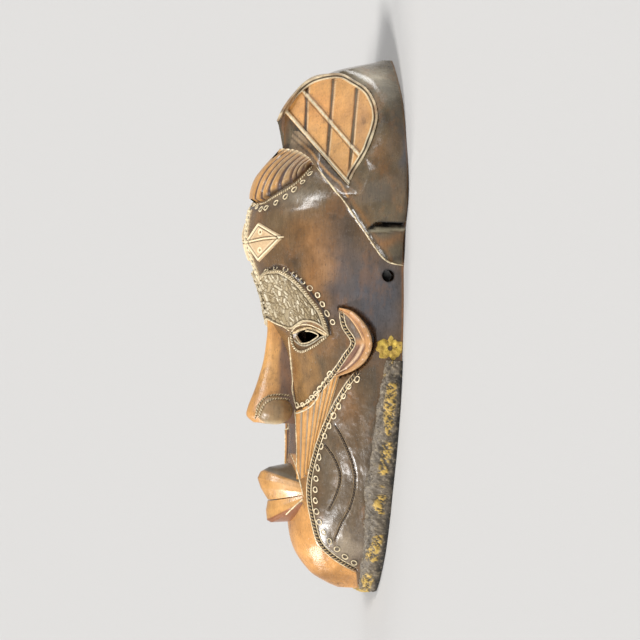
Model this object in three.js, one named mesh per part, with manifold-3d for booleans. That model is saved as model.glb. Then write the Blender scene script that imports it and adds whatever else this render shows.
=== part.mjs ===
// Carved wooden face mask, lying on its flat rim with the face up.
// Millimetres. +X is the mask's own left, +Y runs up the face to the crown, +Z points out of the face.
// The origin is on the rim plane, below the middle of the mask.
import * as THREE from "three";
import { mergeVertices } from "three/addons/utils/BufferGeometryUtils.js";
import Module from "manifold-3d";

// Driving dimensions
const HEIGHT = 381; // chin to crown
const MID_HEIGHT = HEIGHT / 2;
const SIDE_WALL = 10; // thickness of the wall at the rim
const FRONT_WALL = 14; // thickness of the wall behind the face
// Squareness of the cross-section at each height: 2 is an ellipse, more gives fuller cheeks, less a gabled crown.
const SQUARENESS = [[4, 2.2], [270, 2.2], [292, 1.9], [312, 1.55], [325, 1.5], [381, 1.5]];
const DRAWING_ANGLE = THREE.MathUtils.degToRad(11); // how far the side drawing is turned towards the face
const ROWS = 38; // cross-sections from chin to crown
const ARCH_STEPS = 20; // steps round each cross-section
const MEETING = 2.5; // how far the left and right halves of a raised form run into each other
const CORD_SIDES = 4;
const CORD_SINK = 0.35; // share of a cord's radius by which its axis stands over the face
const HOLLOW = { foot: 15, top: 366, belowRim: 4, rows: 14, archSteps: 12, squareness: 7, narrowest: 0.3 };

// Half-width of the rim at each height above the chin.
const RIM_WIDTHS = [
  [4, 12], [7, 16], [14, 25], [31, 40], [46, 48], [60, 54], [74, 58.5], [91, 65], [106, 70],
  [140, 78], [182, 81], [210, 79], [233, 75], [252, 75.5], [265, 78], [281, 83], [302, 80],
  [323, 70], [341, 58], [353, 48], [368, 30], [377, 16], [380.6, 8],
];
// How far the middle of the face stands out at each height, without forelock, nose and lips.
const FACE_DEPTHS = [
  [4, 25], [7, 33], [14, 45], [31, 57.5], [50, 62], [75, 63], [110, 62.5], [140, 64.5], [165, 68],
  [180, 73.5], [192, 80], [210, 85], [233, 94], [249, 99.5], [260, 99], [270, 97.5], [276, 93.5],
  [283, 91.5], [290, 89], [296, 85], [302, 80.5], [308, 76], [314, 73], [333, 73], [343, 71],
  [352, 67], [361, 59], [366, 50], [370, 37], [374, 25], [378, 12], [380.6, 6],
];

// Crown
const PANEL = { u: 40, v: 330, height: 44.4, slopeU: -0.683, slopeV: -0.5, recess: 1.6 };
const CROWN_OUTLINE = [
  [78.5, 333.5], [76, 343], [71, 353], [62.5, 362], [53, 367.5], [38, 372], [25, 371], [13, 362],
  [5, 350], [1, 335], [3, 318], [10, 303], [25.5, 287.5],
];
const PANEL_OUTLINE = [
  [72.5, 335.5], [69.5, 347], [61, 357.5], [49, 363.5], [36.5, 365], [25, 360], [16.5, 351.5],
  [11.5, 341], [10, 329], [11.5, 316], [17, 304], [27, 292.5],
];
// Dark grooves and the proud bar of the lattice: from, to and width.
const PANEL_GROOVES = [
  { from: [59.5, 359], to: [58.8, 322], width: 2.2 },
  { from: [41, 368], to: [41.4, 306], width: 2.2 },
  { from: [23.5, 362], to: [25.6, 291], width: 2.2 },
];
const PANEL_BAR = { from: [63, 358.5], to: [14, 307.5], width: 2.4 };
const GROOVE_DEPTH = 1.4;
const LOBE_THICKNESS = 72; // how far the crown's underside lies from the middle at the side
const LOBE_OVERLAP = 0.5; // how far each lobe reaches over the middle of the mask
const UNDERSIDE_START = [73.8, 313.5]; // where the crown's underside meets the forehead at the middle
const UNDERSIDE_END = [27, 286.5]; // where it dies out at the side
const HAIRLINE = [[49.2, 301.7], [35.9, 285.8], [28.5, 277.5], [14.4, 258.1], [-0.6, 238.6], [-13, 234.5]];
const HAIR_RAISE = 3;
const HAIR_FADE = 0.4; // share of the hairline over which the step dies out at the crown
const SLIT = [[15, 257.4], [7, 264], [-24, 265], [-24, 258.5], [4, 257]];
const SLIT_DEPTH = 6;

// Forehead
const FORELOCK_TOP = [[73.5, 313.5], [68.1, 313.5], [56.6, 308.5], [50.5, 302]];
const FORELOCK_FOOT = [[97.6, 270], [88.3, 274.4], [72.3, 284.2], [60.6, 293.8], [50.2, 301.6]];
const FORELOCK_RAISE = 5;
const FORELOCK_SWELL = 6;
const FLUTES = 7;
const FLUTE_DEPTH = 1.8;
const BAND = { top: 271, foot: 216, halfWidth: 4.5, raise: 1.6 };
const DIAMOND = [[98.4, 247.5], [89.1, 262], [71, 251.9], [88.1, 233.6]];
const DIAMOND_RAISE = 1.8;

// Eyes
const BROW_TOP = [
  [91, 214], [85.7, 225.9], [76.6, 228.3], [69.4, 227.1], [58.5, 219], [48.9, 207.9], [42.2, 198.9],
  [36.7, 184],
];
const BROW_FOOT = [
  [82, 194], [75, 190.5], [68.1, 187.9], [62, 187.2], [54, 192], [46, 191], [40, 187], [36.7, 183.5],
];
const BROW_RAISE = 2.2;
const UPPER_LID = [[63.7, 184.7], [59.7, 189.3], [51.9, 190.6], [43.3, 187.6], [36.7, 183.5]];
const LOWER_LID = [[63.7, 184.7], [61.3, 174.8], [55.5, 170.8], [46.4, 175.3], [36.7, 183.5]];
const EYE_OPENING = [[59.2, 181.4], [55.5, 186.2], [49.6, 187], [44, 184.2], [50.5, 178.2], [56.4, 176.8]];
const EYE_REACH = { outwards: 6, inwards: 24, widening: 3.2 };
const LID_RADIUS = 1.5;

// Nose, from its underside to the brow
const NOSE_RIDGE = [
  [119.5, 90], [124, 95], [130, 94.4], [136, 92.4], [143, 89.8], [151, 87.4], [163, 84.4], [172, 83.2],
  [184, 82.2], [194, 82.5],
];
const NOSE_WIDTHS = [
  [119.5, 16], [124, 17], [130, 17], [136, 16], [143, 14.5], [151, 13], [163, 11.5], [172, 10.5],
  [184, 9.5], [194, 9],
];
const NOSE_BACK = 56; // where its sides end inside the face
const NOSE_CHEEK = 66; // where its sides start to round over
const WING = { x: 13, v: 128.5, z: 77.5, radii: [10, 10, 13.5] };

// Mouth
const MOUTH_HALF_WIDTH = 27;
const UPPER_LIP = {
  middle: [[58, 92.5], [77.5, 88.2], [83.5, 84.6], [85.6, 80], [83, 73], [77.6, 64.8], [58, 65.5]],
  corner: [[46, 77], [52.5, 76.4], [56, 75.2], [57.5, 73.4], [57, 71.2], [56, 69.6], [46, 70]],
};
const LOWER_LIP = {
  middle: [[58, 64], [77.6, 64], [78.6, 57], [77.6, 50], [75, 48.6], [62, 49.6], [58, 54]],
  corner: [[46, 69.2], [56, 69], [57, 67.5], [56.6, 65.6], [55.5, 64.6], [52, 64], [46, 65]],
};

// Ears
const EAR_BACK = [
  [29.5, 203], [20.9, 200.8], [13.7, 194.9], [8.4, 187.3], [6, 178.8], [7.2, 171.7], [11.2, 164.6],
  [19.5, 158.4], [31, 154],
];
const EAR_FRONT = [
  [31.5, 200], [29, 195], [26.3, 190.2], [22.5, 184], [19.5, 179.1], [22, 173.6], [24.9, 168.9],
  [28, 163], [32, 157],
];
const EAR_RISE = [1, -0.5, 3.4, 8, 8.5]; // height above the cheek from the front of the ear to its back edge

// Cheeks and beard
const CHEEK_CORD = [
  [28.5, 200.5], [26.3, 190.2], [19.5, 179.1], [24.9, 168.9], [31.6, 158.1], [41.8, 144.2], [50, 135.4],
  [57.7, 131],
];
const JAW_CORD = [
  [15.3, 158.6], [24.1, 146.2], [34.1, 126.7], [41.3, 107.3], [46.2, 85.8], [47.1, 69.5], [43.7, 51.8],
  [38.1, 35.7], [27.1, 25.4], [12, 17],
];
const INNER_CRESCENT = [[36.9, 105.3], [30.2, 96.3], [25.6, 84.4], [27.3, 72.3], [32.6, 60]];
const OUTER_CRESCENT = [
  [30.3, 119.7], [23.5, 107.9], [16.6, 91.8], [14.7, 77.6], [17.7, 61.9], [23.7, 48.9], [27.6, 38.1],
];
const CORD_RADIUS = 1.5;
const RIB_TOP = [[57.5, 128], [50, 132.5], [41.8, 141], [33.5, 152], [27, 160]];
const RIB_FOOT = [[55.5, 80], [50.5, 82], [47, 90], [42.5, 107], [35.5, 126]];
const RIBS = 6;
const RIB_RAISE = 2;
const BEARD = { top: 167, foot: 6.5, outward: 6, inward: 9, rise: 17, chinShare: 0.72, fullHeight: 40 };
const BEARD_SECTION = [[-1, 0], [-1, 0.6], [-0.3, 1], [0.6, 0.86], [0.95, 0.45], [0.8, 0]];
const ROSETTE = { v: 176.4, z: 9.2, radius: 9, waviness: 0.12, petals: 7, proud: 9 };
const CORD_HOLE = { v: 226.7, z: 11, radius: 4.3 };

const wasm = await Module();
wasm.setup();

// Smooth value between the listed [height, value] pairs.
function along(pairs, height) {
  const last = pairs.length - 1;
  if (height <= pairs[0][0]) return pairs[0][1];
  if (height >= pairs[last][0]) return pairs[last][1];
  let i = 0;
  while (pairs[i + 1][0] < height) i += 1;
  const slope = (a, b) => (pairs[b][1] - pairs[a][1]) / (pairs[b][0] - pairs[a][0]);
  const span = pairs[i + 1][0] - pairs[i][0];
  const start = i === 0 ? slope(0, 1) : slope(i - 1, i + 1);
  const end = i + 1 === last ? slope(i, last) : slope(i, i + 2);
  const t = (height - pairs[i][0]) / span;
  const bend = t * (1 - t) * span * (start * (1 - t) - end * t);
  const ease = t * t * (3 - 2 * t);
  return pairs[i][1] * (1 - ease) + pairs[i + 1][1] * ease + bend;
}

// Point of the cross-section at height v, turned by angle from the left rim (0) over the face to the right one (pi).
function archPoint(v, width, depth, angle) {
  const c = Math.cos(angle);
  const s = Math.max(Math.sin(angle), 0);
  const power = 2 / along(SQUARENESS, v);
  return [Math.sign(c) * width * Math.abs(c) ** power, depth * s ** power];
}

// Where a line looking along the drawing's axis at (u, v) meets the left half of the face.
function onFace(u, v) {
  const width = along(RIM_WIDTHS, v);
  const depth = along(FACE_DEPTHS, v);
  let low = 0;
  let high = Math.PI / 2;
  for (let i = 0; i < 30; i += 1) {
    const angle = (low + high) / 2;
    const [x, z] = archPoint(v, width, depth, angle);
    if (z * Math.cos(DRAWING_ANGLE) - x * Math.sin(DRAWING_ANGLE) < u) low = angle;
    else high = angle;
  }
  const [x, z] = archPoint(v, width, depth, low);
  return new THREE.Vector3(x, v - MID_HEIGHT, z);
}

// Outward direction of the left half of the face at (u, v).
function normalAt(u, v) {
  const step = 1.5;
  const here = onFace(u, v);
  const back = onFace(u - step, v);
  const below = onFace(u, v - step);
  const across = here.clone().sub(back);
  const up = here.clone().sub(below);
  const normal = up.cross(across).normalize();
  return normal.x + normal.z < 0 ? normal.negate() : normal;
}

// Point that stands off the face by rise, under the drawing's point (u, v).
function above(u, v, rise) {
  return onFace(u, v).addScaledVector(normalAt(u, v), rise);
}

// Point at (u, v) of the drawing, height away from the middle plane along the drawing's axis.
function fromDrawing(u, v, height) {
  const c = Math.cos(DRAWING_ANGLE);
  const s = Math.sin(DRAWING_ANGLE);
  return new THREE.Vector3(height * c - u * s, v - MID_HEIGHT, height * s + u * c);
}

const panelHeight = (u, v) => PANEL.height + PANEL.slopeU * (u - PANEL.u) + PANEL.slopeV * (v - PANEL.v);

const curve2 = (points) => new THREE.SplineCurve(points.map(([u, v]) => new THREE.Vector2(u, v)));

function solid(geometry) {
  const bare = geometry.clone();
  bare.deleteAttribute("normal");
  bare.deleteAttribute("uv");
  const merged = mergeVertices(bare, 1e-3);
  const made = new wasm.Manifold(
    new wasm.Mesh({
      numProp: 3,
      vertProperties: merged.attributes.position.array,
      triVerts: new Uint32Array(merged.index.array),
    }),
  );
  if (made.volume() > 0) return made;
  const turned = new Uint32Array(merged.index.array);
  for (let i = 0; i < turned.length; i += 3) {
    [turned[i + 1], turned[i + 2]] = [turned[i + 2], turned[i + 1]];
  }
  return new wasm.Manifold(
    new wasm.Mesh({ numProp: 3, vertProperties: merged.attributes.position.array, triVerts: turned }),
  );
}

// Moves each vertex of a geometry to where place(vertex) says.
function reshaped(geometry, place) {
  const position = geometry.attributes.position;
  const vertex = new THREE.Vector3();
  for (let i = 0; i < position.count; i += 1) {
    vertex.fromBufferAttribute(position, i);
    const moved = place(vertex);
    position.setXYZ(i, moved.x, moved.y, moved.z);
  }
  return geometry;
}

// Closed body through rings: ring(along 0..1, step of the ring) gives each point.
function loft(steps, sides, ring) {
  const tube = new THREE.CylinderGeometry(1, 1, 1, sides, steps);
  return solid(
    reshaped(tube, (p) => {
      const t = p.y + 0.5;
      if (Math.hypot(p.x, p.z) < 0.5) {
        const middle = new THREE.Vector3();
        for (let i = 0; i < sides; i += 1) middle.addScaledVector(ring(t, i), 1 / sides);
        return middle;
      }
      const turn = Math.atan2(p.x, p.z) / (2 * Math.PI);
      return ring(t, Math.round((turn + 1) * sides) % sides);
    }),
  );
}

// Raised patch of the left side: outline(a, b) gives its (u, v), rise(a, b) its height above the face.
function patch(stepsA, stepsB, outline, rise, sink = 3) {
  const slab = new THREE.BoxGeometry(1, 1, 1, stepsA, stepsB, 1);
  return solid(
    reshaped(slab, (p) => {
      const a = p.x + 0.5;
      const b = p.y + 0.5;
      const [u, v] = outline(a, b);
      const point = above(u, v, p.z > 0 ? rise(a, b) : -sink);
      if (point.x < MEETING) point.x = -MEETING;
      return point;
    }),
  );
}

// Patch outline between two curves of the drawing.
function between(first, second) {
  const one = curve2(first);
  const two = curve2(second);
  return (a, b) => {
    const p = one.getPoint(a).lerp(two.getPoint(a), b);
    return [p.x, p.y];
  };
}

// Cord that lies half sunk in the face along points of the drawing.
function cord(points, radius, steps) {
  const line = curve2(points);
  const path = new THREE.CatmullRomCurve3(
    line.getPoints(steps).map((p) => above(p.x, p.y, radius * CORD_SINK)),
  );
  const section = new THREE.Shape();
  for (let i = 0; i < CORD_SIDES; i += 1) {
    const turn = (i / CORD_SIDES) * 2 * Math.PI;
    const x = radius * Math.cos(turn);
    const y = radius * Math.sin(turn);
    if (i === 0) section.moveTo(x, y);
    else section.lineTo(x, y);
  }
  return solid(new THREE.ExtrudeGeometry(section, { steps, extrudePath: path, bevelEnabled: false }));
}

// Prism of a drawing outline between two heights that may change over the drawing.
function prism(outline, low, high) {
  const shape = new THREE.Shape(outline.map(([u, v]) => new THREE.Vector2(u, v)));
  const body = new THREE.ExtrudeGeometry(shape, { depth: 1, bevelEnabled: false });
  return solid(reshaped(body, (p) => fromDrawing(p.x, p.y, p.z > 0.5 ? high(p.x, p.y) : low(p.x, p.y))));
}

const mirrored = (body) => body.mirror([1, 0, 0]);
const bothSides = (body) => body.add(mirrored(body));
const sum = (bodies) => bodies.reduce((whole, body) => whole.add(body));

// Heights of the cross-sections: evenly along the profile, so that chin and crown are round too.
function rowHeights(rows) {
  const fine = 2000;
  const low = RIM_WIDTHS[0][0];
  const high = RIM_WIDTHS[RIM_WIDTHS.length - 1][0];
  const lengths = [0];
  let before = along(FACE_DEPTHS, low);
  for (let i = 1; i <= fine; i += 1) {
    const depth = along(FACE_DEPTHS, low + ((high - low) * i) / fine);
    lengths.push(lengths[i - 1] + Math.hypot((high - low) / fine, depth - before));
    before = depth;
  }
  const heights = [];
  for (let row = 0, i = 0; row <= rows; row += 1) {
    while (i < fine && lengths[i] < (lengths[fine] * row) / rows) i += 1;
    heights.push(low + ((high - low) * i) / fine);
  }
  return heights;
}

// Full body of the mask before it is hollowed.
function faceBlock() {
  const heights = rowHeights(ROWS);
  return loft(ROWS, ARCH_STEPS + 1, (t, i) => {
    const v = heights[Math.round(t * ROWS)];
    const [x, z] = archPoint(v, along(RIM_WIDTHS, v), along(FACE_DEPTHS, v), (Math.PI * i) / ARCH_STEPS);
    return new THREE.Vector3(x, v - MID_HEIGHT, z);
  });
}

// Hollow for the wearer's face, open at the rim.
function hollow() {
  const { foot, top, belowRim, rows, archSteps, squareness, narrowest } = HOLLOW;
  return loft(rows, archSteps + 3, (t, i) => {
    const run = -Math.cos(Math.PI * t);
    const v = (foot + top) / 2 + (run * (top - foot)) / 2;
    const round = Math.max(1 - Math.abs(run) ** squareness, 0.02) ** 0.5;
    const width = Math.max(along(RIM_WIDTHS, v) - SIDE_WALL, 4) * Math.max(round, narrowest);
    const depth = Math.max(along(FACE_DEPTHS, v) - FRONT_WALL, 6) * round;
    if (i === archSteps + 1) return new THREE.Vector3(-width, v - MID_HEIGHT, -belowRim);
    if (i > archSteps) return new THREE.Vector3(width, v - MID_HEIGHT, -belowRim);
    const [x, z] = archPoint(v, width, depth, (Math.PI * i) / archSteps);
    return new THREE.Vector3(x, v - MID_HEIGHT, z);
  });
}

// One side lobe of the crown: a thick D whose flat face carries the sunk lattice panel.
function crownLobe() {
  const arcSteps = 16;
  const chordSteps = 4;
  const arc = curve2(CROWN_OUTLINE);
  const chordStart = new THREE.Vector2(...CROWN_OUTLINE[CROWN_OUTLINE.length - 1]);
  const chordEnd = new THREE.Vector2(...CROWN_OUTLINE[0]);
  const footStart = new THREE.Vector2(...UNDERSIDE_END);
  const footEnd = new THREE.Vector2(...UNDERSIDE_START);
  const middle = (u) => (u * Math.sin(DRAWING_ANGLE) - LOBE_OVERLAP) / Math.cos(DRAWING_ANGLE);
  const lobe = loft(1, arcSteps + chordSteps, (t, i) => {
    const onArc = i <= arcSteps;
    const share = onArc ? i / arcSteps : (i - arcSteps) / chordSteps;
    const top = onArc ? arc.getPoint(share) : chordStart.clone().lerp(chordEnd, share);
    const height = panelHeight(top.x, top.y);
    if (t > 0.5) return fromDrawing(top.x, top.y, height);
    if (onArc && i > 0 && i < arcSteps) return fromDrawing(top.x, top.y, Math.min(0, height));
    const chordShare = onArc ? 1 - share : share;
    const foot = footStart.clone().lerp(footEnd, chordShare);
    return fromDrawing(foot.x, foot.y, THREE.MathUtils.lerp(LOBE_THICKNESS, middle(foot.x), chordShare));
  });
  return lobe.trimByPlane([1, 0, 0], -LOBE_OVERLAP);
}

// Outline of a straight strip of the drawing.
function strip({ from, to, width }) {
  const side = new THREE.Vector2(from[1] - to[1], to[0] - from[0]).setLength(width / 2);
  return [
    [from[0] + side.x, from[1] + side.y],
    [from[0] - side.x, from[1] - side.y],
    [to[0] - side.x, to[1] - side.y],
    [to[0] + side.x, to[1] + side.y],
  ];
}

// What is cut out of a lobe: the sunk field round the bar, and the grooves in its floor.
function panelCut() {
  const level = (rise) => (u, v) => panelHeight(u, v) + rise;
  const arc = curve2(PANEL_OUTLINE).getPoints(15).map((p) => [p.x, p.y]);
  const field = prism(arc, level(-PANEL.recess), level(12));
  const bar = prism(strip(PANEL_BAR), level(-9), level(-0.2));
  const floor = level(-PANEL.recess - GROOVE_DEPTH);
  const grooves = PANEL_GROOVES.map((groove) => prism(strip(groove), floor, level(4)));
  return field.subtract(bar).add(sum(grooves));
}

// Hair behind the hairline, a little proud of the forehead and temple.
function hairSide() {
  const line = curve2(HAIRLINE);
  const rim = (v) => -Math.sin(DRAWING_ANGLE) * along(RIM_WIDTHS, v) + 0.5;
  return patch(
    8,
    3,
    (a, b) => {
      const p = line.getPoint(1 - a);
      return [p.x + (rim(p.y) - p.x) * b, p.y];
    },
    (a) => HAIR_RAISE * Math.min(1, (1 - a) / HAIR_FADE + 0.05),
  );
}

function slit() {
  const low = (u, v) => {
    const p = onFace(Math.max(u, -13), v);
    return p.x * Math.cos(DRAWING_ANGLE) + p.z * Math.sin(DRAWING_ANGLE) - SLIT_DEPTH;
  };
  return prism(SLIT, low, (u, v) => low(u, v) + 30);
}

function forelock() {
  const outline = between(FORELOCK_FOOT, FORELOCK_TOP);
  const steps = FLUTES * 2;
  return patch(
    3,
    steps,
    (a, b) => {
      const [u, v] = outline(b, a);
      return [u + FORELOCK_SWELL * Math.sin(Math.PI * a) * (1 - b), v];
    },
    (a, b) => {
      const flute = Math.round(b * steps) % 2 === 0 ? 0 : FLUTE_DEPTH;
      return FORELOCK_RAISE * Math.sin(Math.PI * Math.min(1, 0.2 + a * 0.6)) * (1 - 0.6 * b) + flute;
    },
  );
}

function foreheadBand() {
  const rows = 10;
  const slab = new THREE.BoxGeometry(1, 1, 1, 2, rows, 1);
  return solid(
    reshaped(slab, (p) => {
      const v = BAND.foot + (BAND.top - BAND.foot) * (p.y + 0.5);
      const depth = along(FACE_DEPTHS, v) + (p.z > 0 ? BAND.raise : -4);
      return new THREE.Vector3(p.x * 2 * BAND.halfWidth, v - MID_HEIGHT, depth);
    }),
  );
}

function diamond() {
  const [inner, top, outer, foot] = DIAMOND;
  return patch(
    4,
    4,
    (a, b) => [
      (inner[0] * (1 - a) + top[0] * a) * (1 - b) + (foot[0] * (1 - a) + outer[0] * a) * b,
      (inner[1] * (1 - a) + top[1] * a) * (1 - b) + (foot[1] * (1 - a) + outer[1] * a) * b,
    ],
    () => DIAMOND_RAISE,
  );
}

const browPad = () => patch(8, 3, between(BROW_FOOT, BROW_TOP), () => BROW_RAISE);

// Hole with the drawn outline on the face, which runs in square to it and widens towards the wearer's eye.
function eyeOpening() {
  const count = EYE_OPENING.length;
  const centre = new THREE.Vector2();
  EYE_OPENING.forEach(([u, v]) => centre.add(new THREE.Vector2(u / count, v / count)));
  const outwards = normalAt(centre.x, centre.y);
  const middle = onFace(centre.x, centre.y);
  return loft(1, count, (t, i) => {
    const outer = t > 0.5;
    const reach = outer ? EYE_REACH.outwards : -EYE_REACH.inwards;
    const point = onFace(...EYE_OPENING[i]).sub(middle);
    return point.multiplyScalar(outer ? 1 : EYE_REACH.widening).add(middle).addScaledVector(outwards, reach);
  });
}

function nose() {
  const rows = 11;
  const foot = NOSE_RIDGE[0][0];
  const top = NOSE_RIDGE[NOSE_RIDGE.length - 1][0];
  return loft(rows, 9, (t, i) => {
    const v = foot + (top - foot) * t;
    const front = along(NOSE_RIDGE, v);
    const shape = [
      [-1, NOSE_BACK], [-1, NOSE_CHEEK], [-0.76, front - 10], [-0.42, front - 2.4], [0, front],
      [0.42, front - 2.4], [0.76, front - 10], [1, NOSE_CHEEK], [1, NOSE_BACK],
    ];
    const [x, z] = shape[i];
    return new THREE.Vector3(x * along(NOSE_WIDTHS, v), v - MID_HEIGHT, z);
  });
}

function noseWing() {
  const ball = new THREE.SphereGeometry(1, 9, 6);
  const [rx, ry, rz] = WING.radii;
  return solid(
    reshaped(
      ball,
      (p) => new THREE.Vector3(WING.x + p.x * rx, WING.v - MID_HEIGHT + p.y * ry, WING.z + p.z * rz),
    ),
  );
}

function lip({ middle, corner }) {
  const steps = 10;
  return loft(steps, middle.length, (t, i) => {
    const across = 2 * t - 1;
    const share = across * across;
    const z = middle[i][0] + (corner[i][0] - middle[i][0]) * share;
    const v = middle[i][1] + (corner[i][1] - middle[i][1]) * share;
    return new THREE.Vector3(across * MOUTH_HALF_WIDTH, v - MID_HEIGHT, z);
  });
}

function ear() {
  const steps = EAR_RISE.length - 1;
  return patch(9, steps, between(EAR_FRONT, EAR_BACK), (a, b) => {
    const rise = EAR_RISE[Math.round(b * steps)];
    const taper = Math.min(1, Math.sin(Math.PI * a) * 1.8 + 0.25); // lower towards both tips
    return rise * taper;
  });
}

// Ribs of the cheek, between the two cords.
function ribs() {
  const steps = RIBS * 2;
  const upper = curve2(RIB_TOP);
  const lower = curve2(RIB_FOOT);
  return patch(
    3,
    steps,
    (a, b) => {
      const p = lower.getPoint(b).lerp(upper.getPoint(b), a);
      return [p.x, p.y];
    },
    (a, b) => (Math.round(b * steps) % 2 === 0 ? 0.1 : RIB_RAISE),
  );
}

// Raised beard along the lower rim, from one rosette round the chin to the other.
function beard() {
  const quarter = 11;
  const steps = quarter * 2;
  const left = [];
  for (let i = 0; i <= quarter; i += 1) {
    const v = BEARD.foot + (BEARD.top - BEARD.foot) * Math.sin((Math.PI / 2) * (i / quarter)) ** 1.6;
    left.push(new THREE.Vector2(i === 0 ? 0 : along(RIM_WIDTHS, v), v));
  }
  const right = left.slice(1).map((p) => new THREE.Vector2(-p.x, p.y));
  const route = [...left.reverse(), ...right];
  return loft(steps, BEARD_SECTION.length, (t, i) => {
    const at = Math.round(t * steps);
    const here = route[at];
    const tangent = route[Math.min(at + 1, steps)].clone().sub(route[Math.max(at - 1, 0)]).normalize();
    const outward = new THREE.Vector2(tangent.y, -tangent.x);
    if (outward.dot(new THREE.Vector2(here.x, here.y - MID_HEIGHT / 2)) < 0) outward.negate();
    const [across, rise] = BEARD_SECTION[i];
    const taper = 1 - 0.35 * Math.abs(2 * t - 1) ** 6; // thinner at both upper ends
    const reach = (across < 0 ? BEARD.inward : BEARD.outward) * across * taper;
    const fullness = BEARD.chinShare + (1 - BEARD.chinShare) * Math.min(1, here.y / BEARD.fullHeight);
    const height = rise * BEARD.rise * taper * fullness;
    return new THREE.Vector3(here.x + outward.x * reach, here.y + outward.y * reach - MID_HEIGHT, height);
  });
}

function rosette() {
  const steps = ROSETTE.petals * 2;
  const shape = new THREE.Shape();
  for (let i = 0; i < steps; i += 1) {
    const turn = (i / steps) * 2 * Math.PI;
    const dip = ROSETTE.waviness * (1 - Math.cos(ROSETTE.petals * turn));
    const radius = ROSETTE.radius * (1 - dip);
    if (i === 0) shape.moveTo(radius, 0);
    else shape.lineTo(radius * Math.cos(turn), radius * Math.sin(turn));
  }
  const flower = new THREE.ExtrudeGeometry(shape, { depth: ROSETTE.proud + 8, bevelEnabled: false });
  flower.rotateY(Math.PI / 2);
  flower.translate(along(RIM_WIDTHS, ROSETTE.v) - 12, ROSETTE.v - MID_HEIGHT, ROSETTE.z);
  return solid(flower);
}

// Hole along X through both sides, for the cord that ties the mask on.
function cordHoles() {
  const bore = new THREE.CylinderGeometry(CORD_HOLE.radius, CORD_HOLE.radius, 200, 14);
  bore.rotateZ(Math.PI / 2);
  bore.translate(0, CORD_HOLE.v - MID_HEIGHT, CORD_HOLE.z);
  return solid(bore);
}

function carve() {
  let mask = faceBlock().add(bothSides(hairSide()));
  mask = mask.add(bothSides(crownLobe())).subtract(bothSides(panelCut()));
  mask = mask.add(bothSides(forelock())).add(foreheadBand()).add(bothSides(diamond()));
  mask = mask.add(bothSides(browPad()));
  mask = mask.add(bothSides(cord(UPPER_LID, LID_RADIUS, 4))).add(bothSides(cord(LOWER_LID, LID_RADIUS, 4)));
  mask = mask.add(nose()).add(bothSides(noseWing()));
  mask = mask.add(lip(UPPER_LIP)).add(lip(LOWER_LIP));
  mask = mask.add(bothSides(ribs())).add(bothSides(ear()));
  mask = mask.add(bothSides(cord(CHEEK_CORD, CORD_RADIUS, 8)));
  mask = mask.add(bothSides(cord(JAW_CORD, CORD_RADIUS, 9)));
  mask = mask.add(bothSides(cord(INNER_CRESCENT, CORD_RADIUS, 4)));
  mask = mask.add(bothSides(cord(OUTER_CRESCENT, CORD_RADIUS, 6)));
  mask = mask.add(beard()).add(bothSides(rosette()));
  mask = mask.subtract(hollow()).subtract(bothSides(slit()));
  return mask.subtract(bothSides(eyeOpening())).subtract(cordHoles());
}

function meshOf(body, name, material) {
  const data = body.getMesh();
  const geometry = new THREE.BufferGeometry();
  geometry.setAttribute("position", new THREE.BufferAttribute(data.vertProperties, 3));
  geometry.setIndex(new THREE.BufferAttribute(data.triVerts, 1));
  geometry.computeVertexNormals();
  const mesh = new THREE.Mesh(geometry, material);
  mesh.name = name;
  return mesh;
}

const stainedWood = new THREE.MeshStandardMaterial({ color: 0x8a6a46, roughness: 0.38, metalness: 0 });

const group = new THREE.Group();
group.add(meshOf(carve(), "mask", stainedWood));

export default group;
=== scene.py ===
import math

import bmesh
import bpy
import numpy as np
from bpy.props import FloatProperty, FloatVectorProperty, IntProperty, PointerProperty
from mathutils import Matrix, Vector
from mathutils.bvhtree import BVHTree


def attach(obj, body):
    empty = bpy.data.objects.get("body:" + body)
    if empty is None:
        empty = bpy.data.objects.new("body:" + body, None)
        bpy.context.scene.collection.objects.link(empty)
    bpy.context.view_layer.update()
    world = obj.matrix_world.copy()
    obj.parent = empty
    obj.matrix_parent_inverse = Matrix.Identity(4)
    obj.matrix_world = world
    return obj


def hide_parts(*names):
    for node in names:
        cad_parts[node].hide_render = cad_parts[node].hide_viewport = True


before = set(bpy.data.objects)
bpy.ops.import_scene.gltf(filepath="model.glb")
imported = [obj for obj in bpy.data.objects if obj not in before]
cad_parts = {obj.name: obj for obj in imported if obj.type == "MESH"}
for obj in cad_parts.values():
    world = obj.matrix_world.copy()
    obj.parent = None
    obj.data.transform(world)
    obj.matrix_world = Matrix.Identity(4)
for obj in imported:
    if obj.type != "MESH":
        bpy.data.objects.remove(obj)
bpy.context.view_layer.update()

bl_info = {
    "name": "Carved Mask",
    "version": (1, 0, 0),
    "blender": (4, 5, 0),
    "location": "View3D > Sidebar > Mask",
    "description": "Carved and stained wooden face mask lying on its rim",
    "category": "Add Mesh",
}

MM = 0.001
# Name of the colour layer at the corners: it holds the stains and also the painted light and shade.
BODY = "root"
NODE = "mask"
STAIN = "stain"
# A new corner of a cut has a white stain: all of it is above this level.
UNSTAINED = 0.95
MID_HEIGHT = 190.5
DRAWING_ANGLE = math.radians(11)
COS, SIN = math.cos(DRAWING_ANGLE), math.sin(DRAWING_ANGLE)
TOWARDS_VIEWER = np.array([COS, 0, SIN])
# Squareness of the cross-section at each height: 2 is an ellipse, more gives fuller cheeks and
# less a gabled crown.
SQUARENESS = [(4, 2.2), (270, 2.2), (292, 1.9), (312, 1.55), (325, 1.5), (381, 1.5)]
SIDE_WALL = 10.0
FRONT_WALL = 14.0

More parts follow.
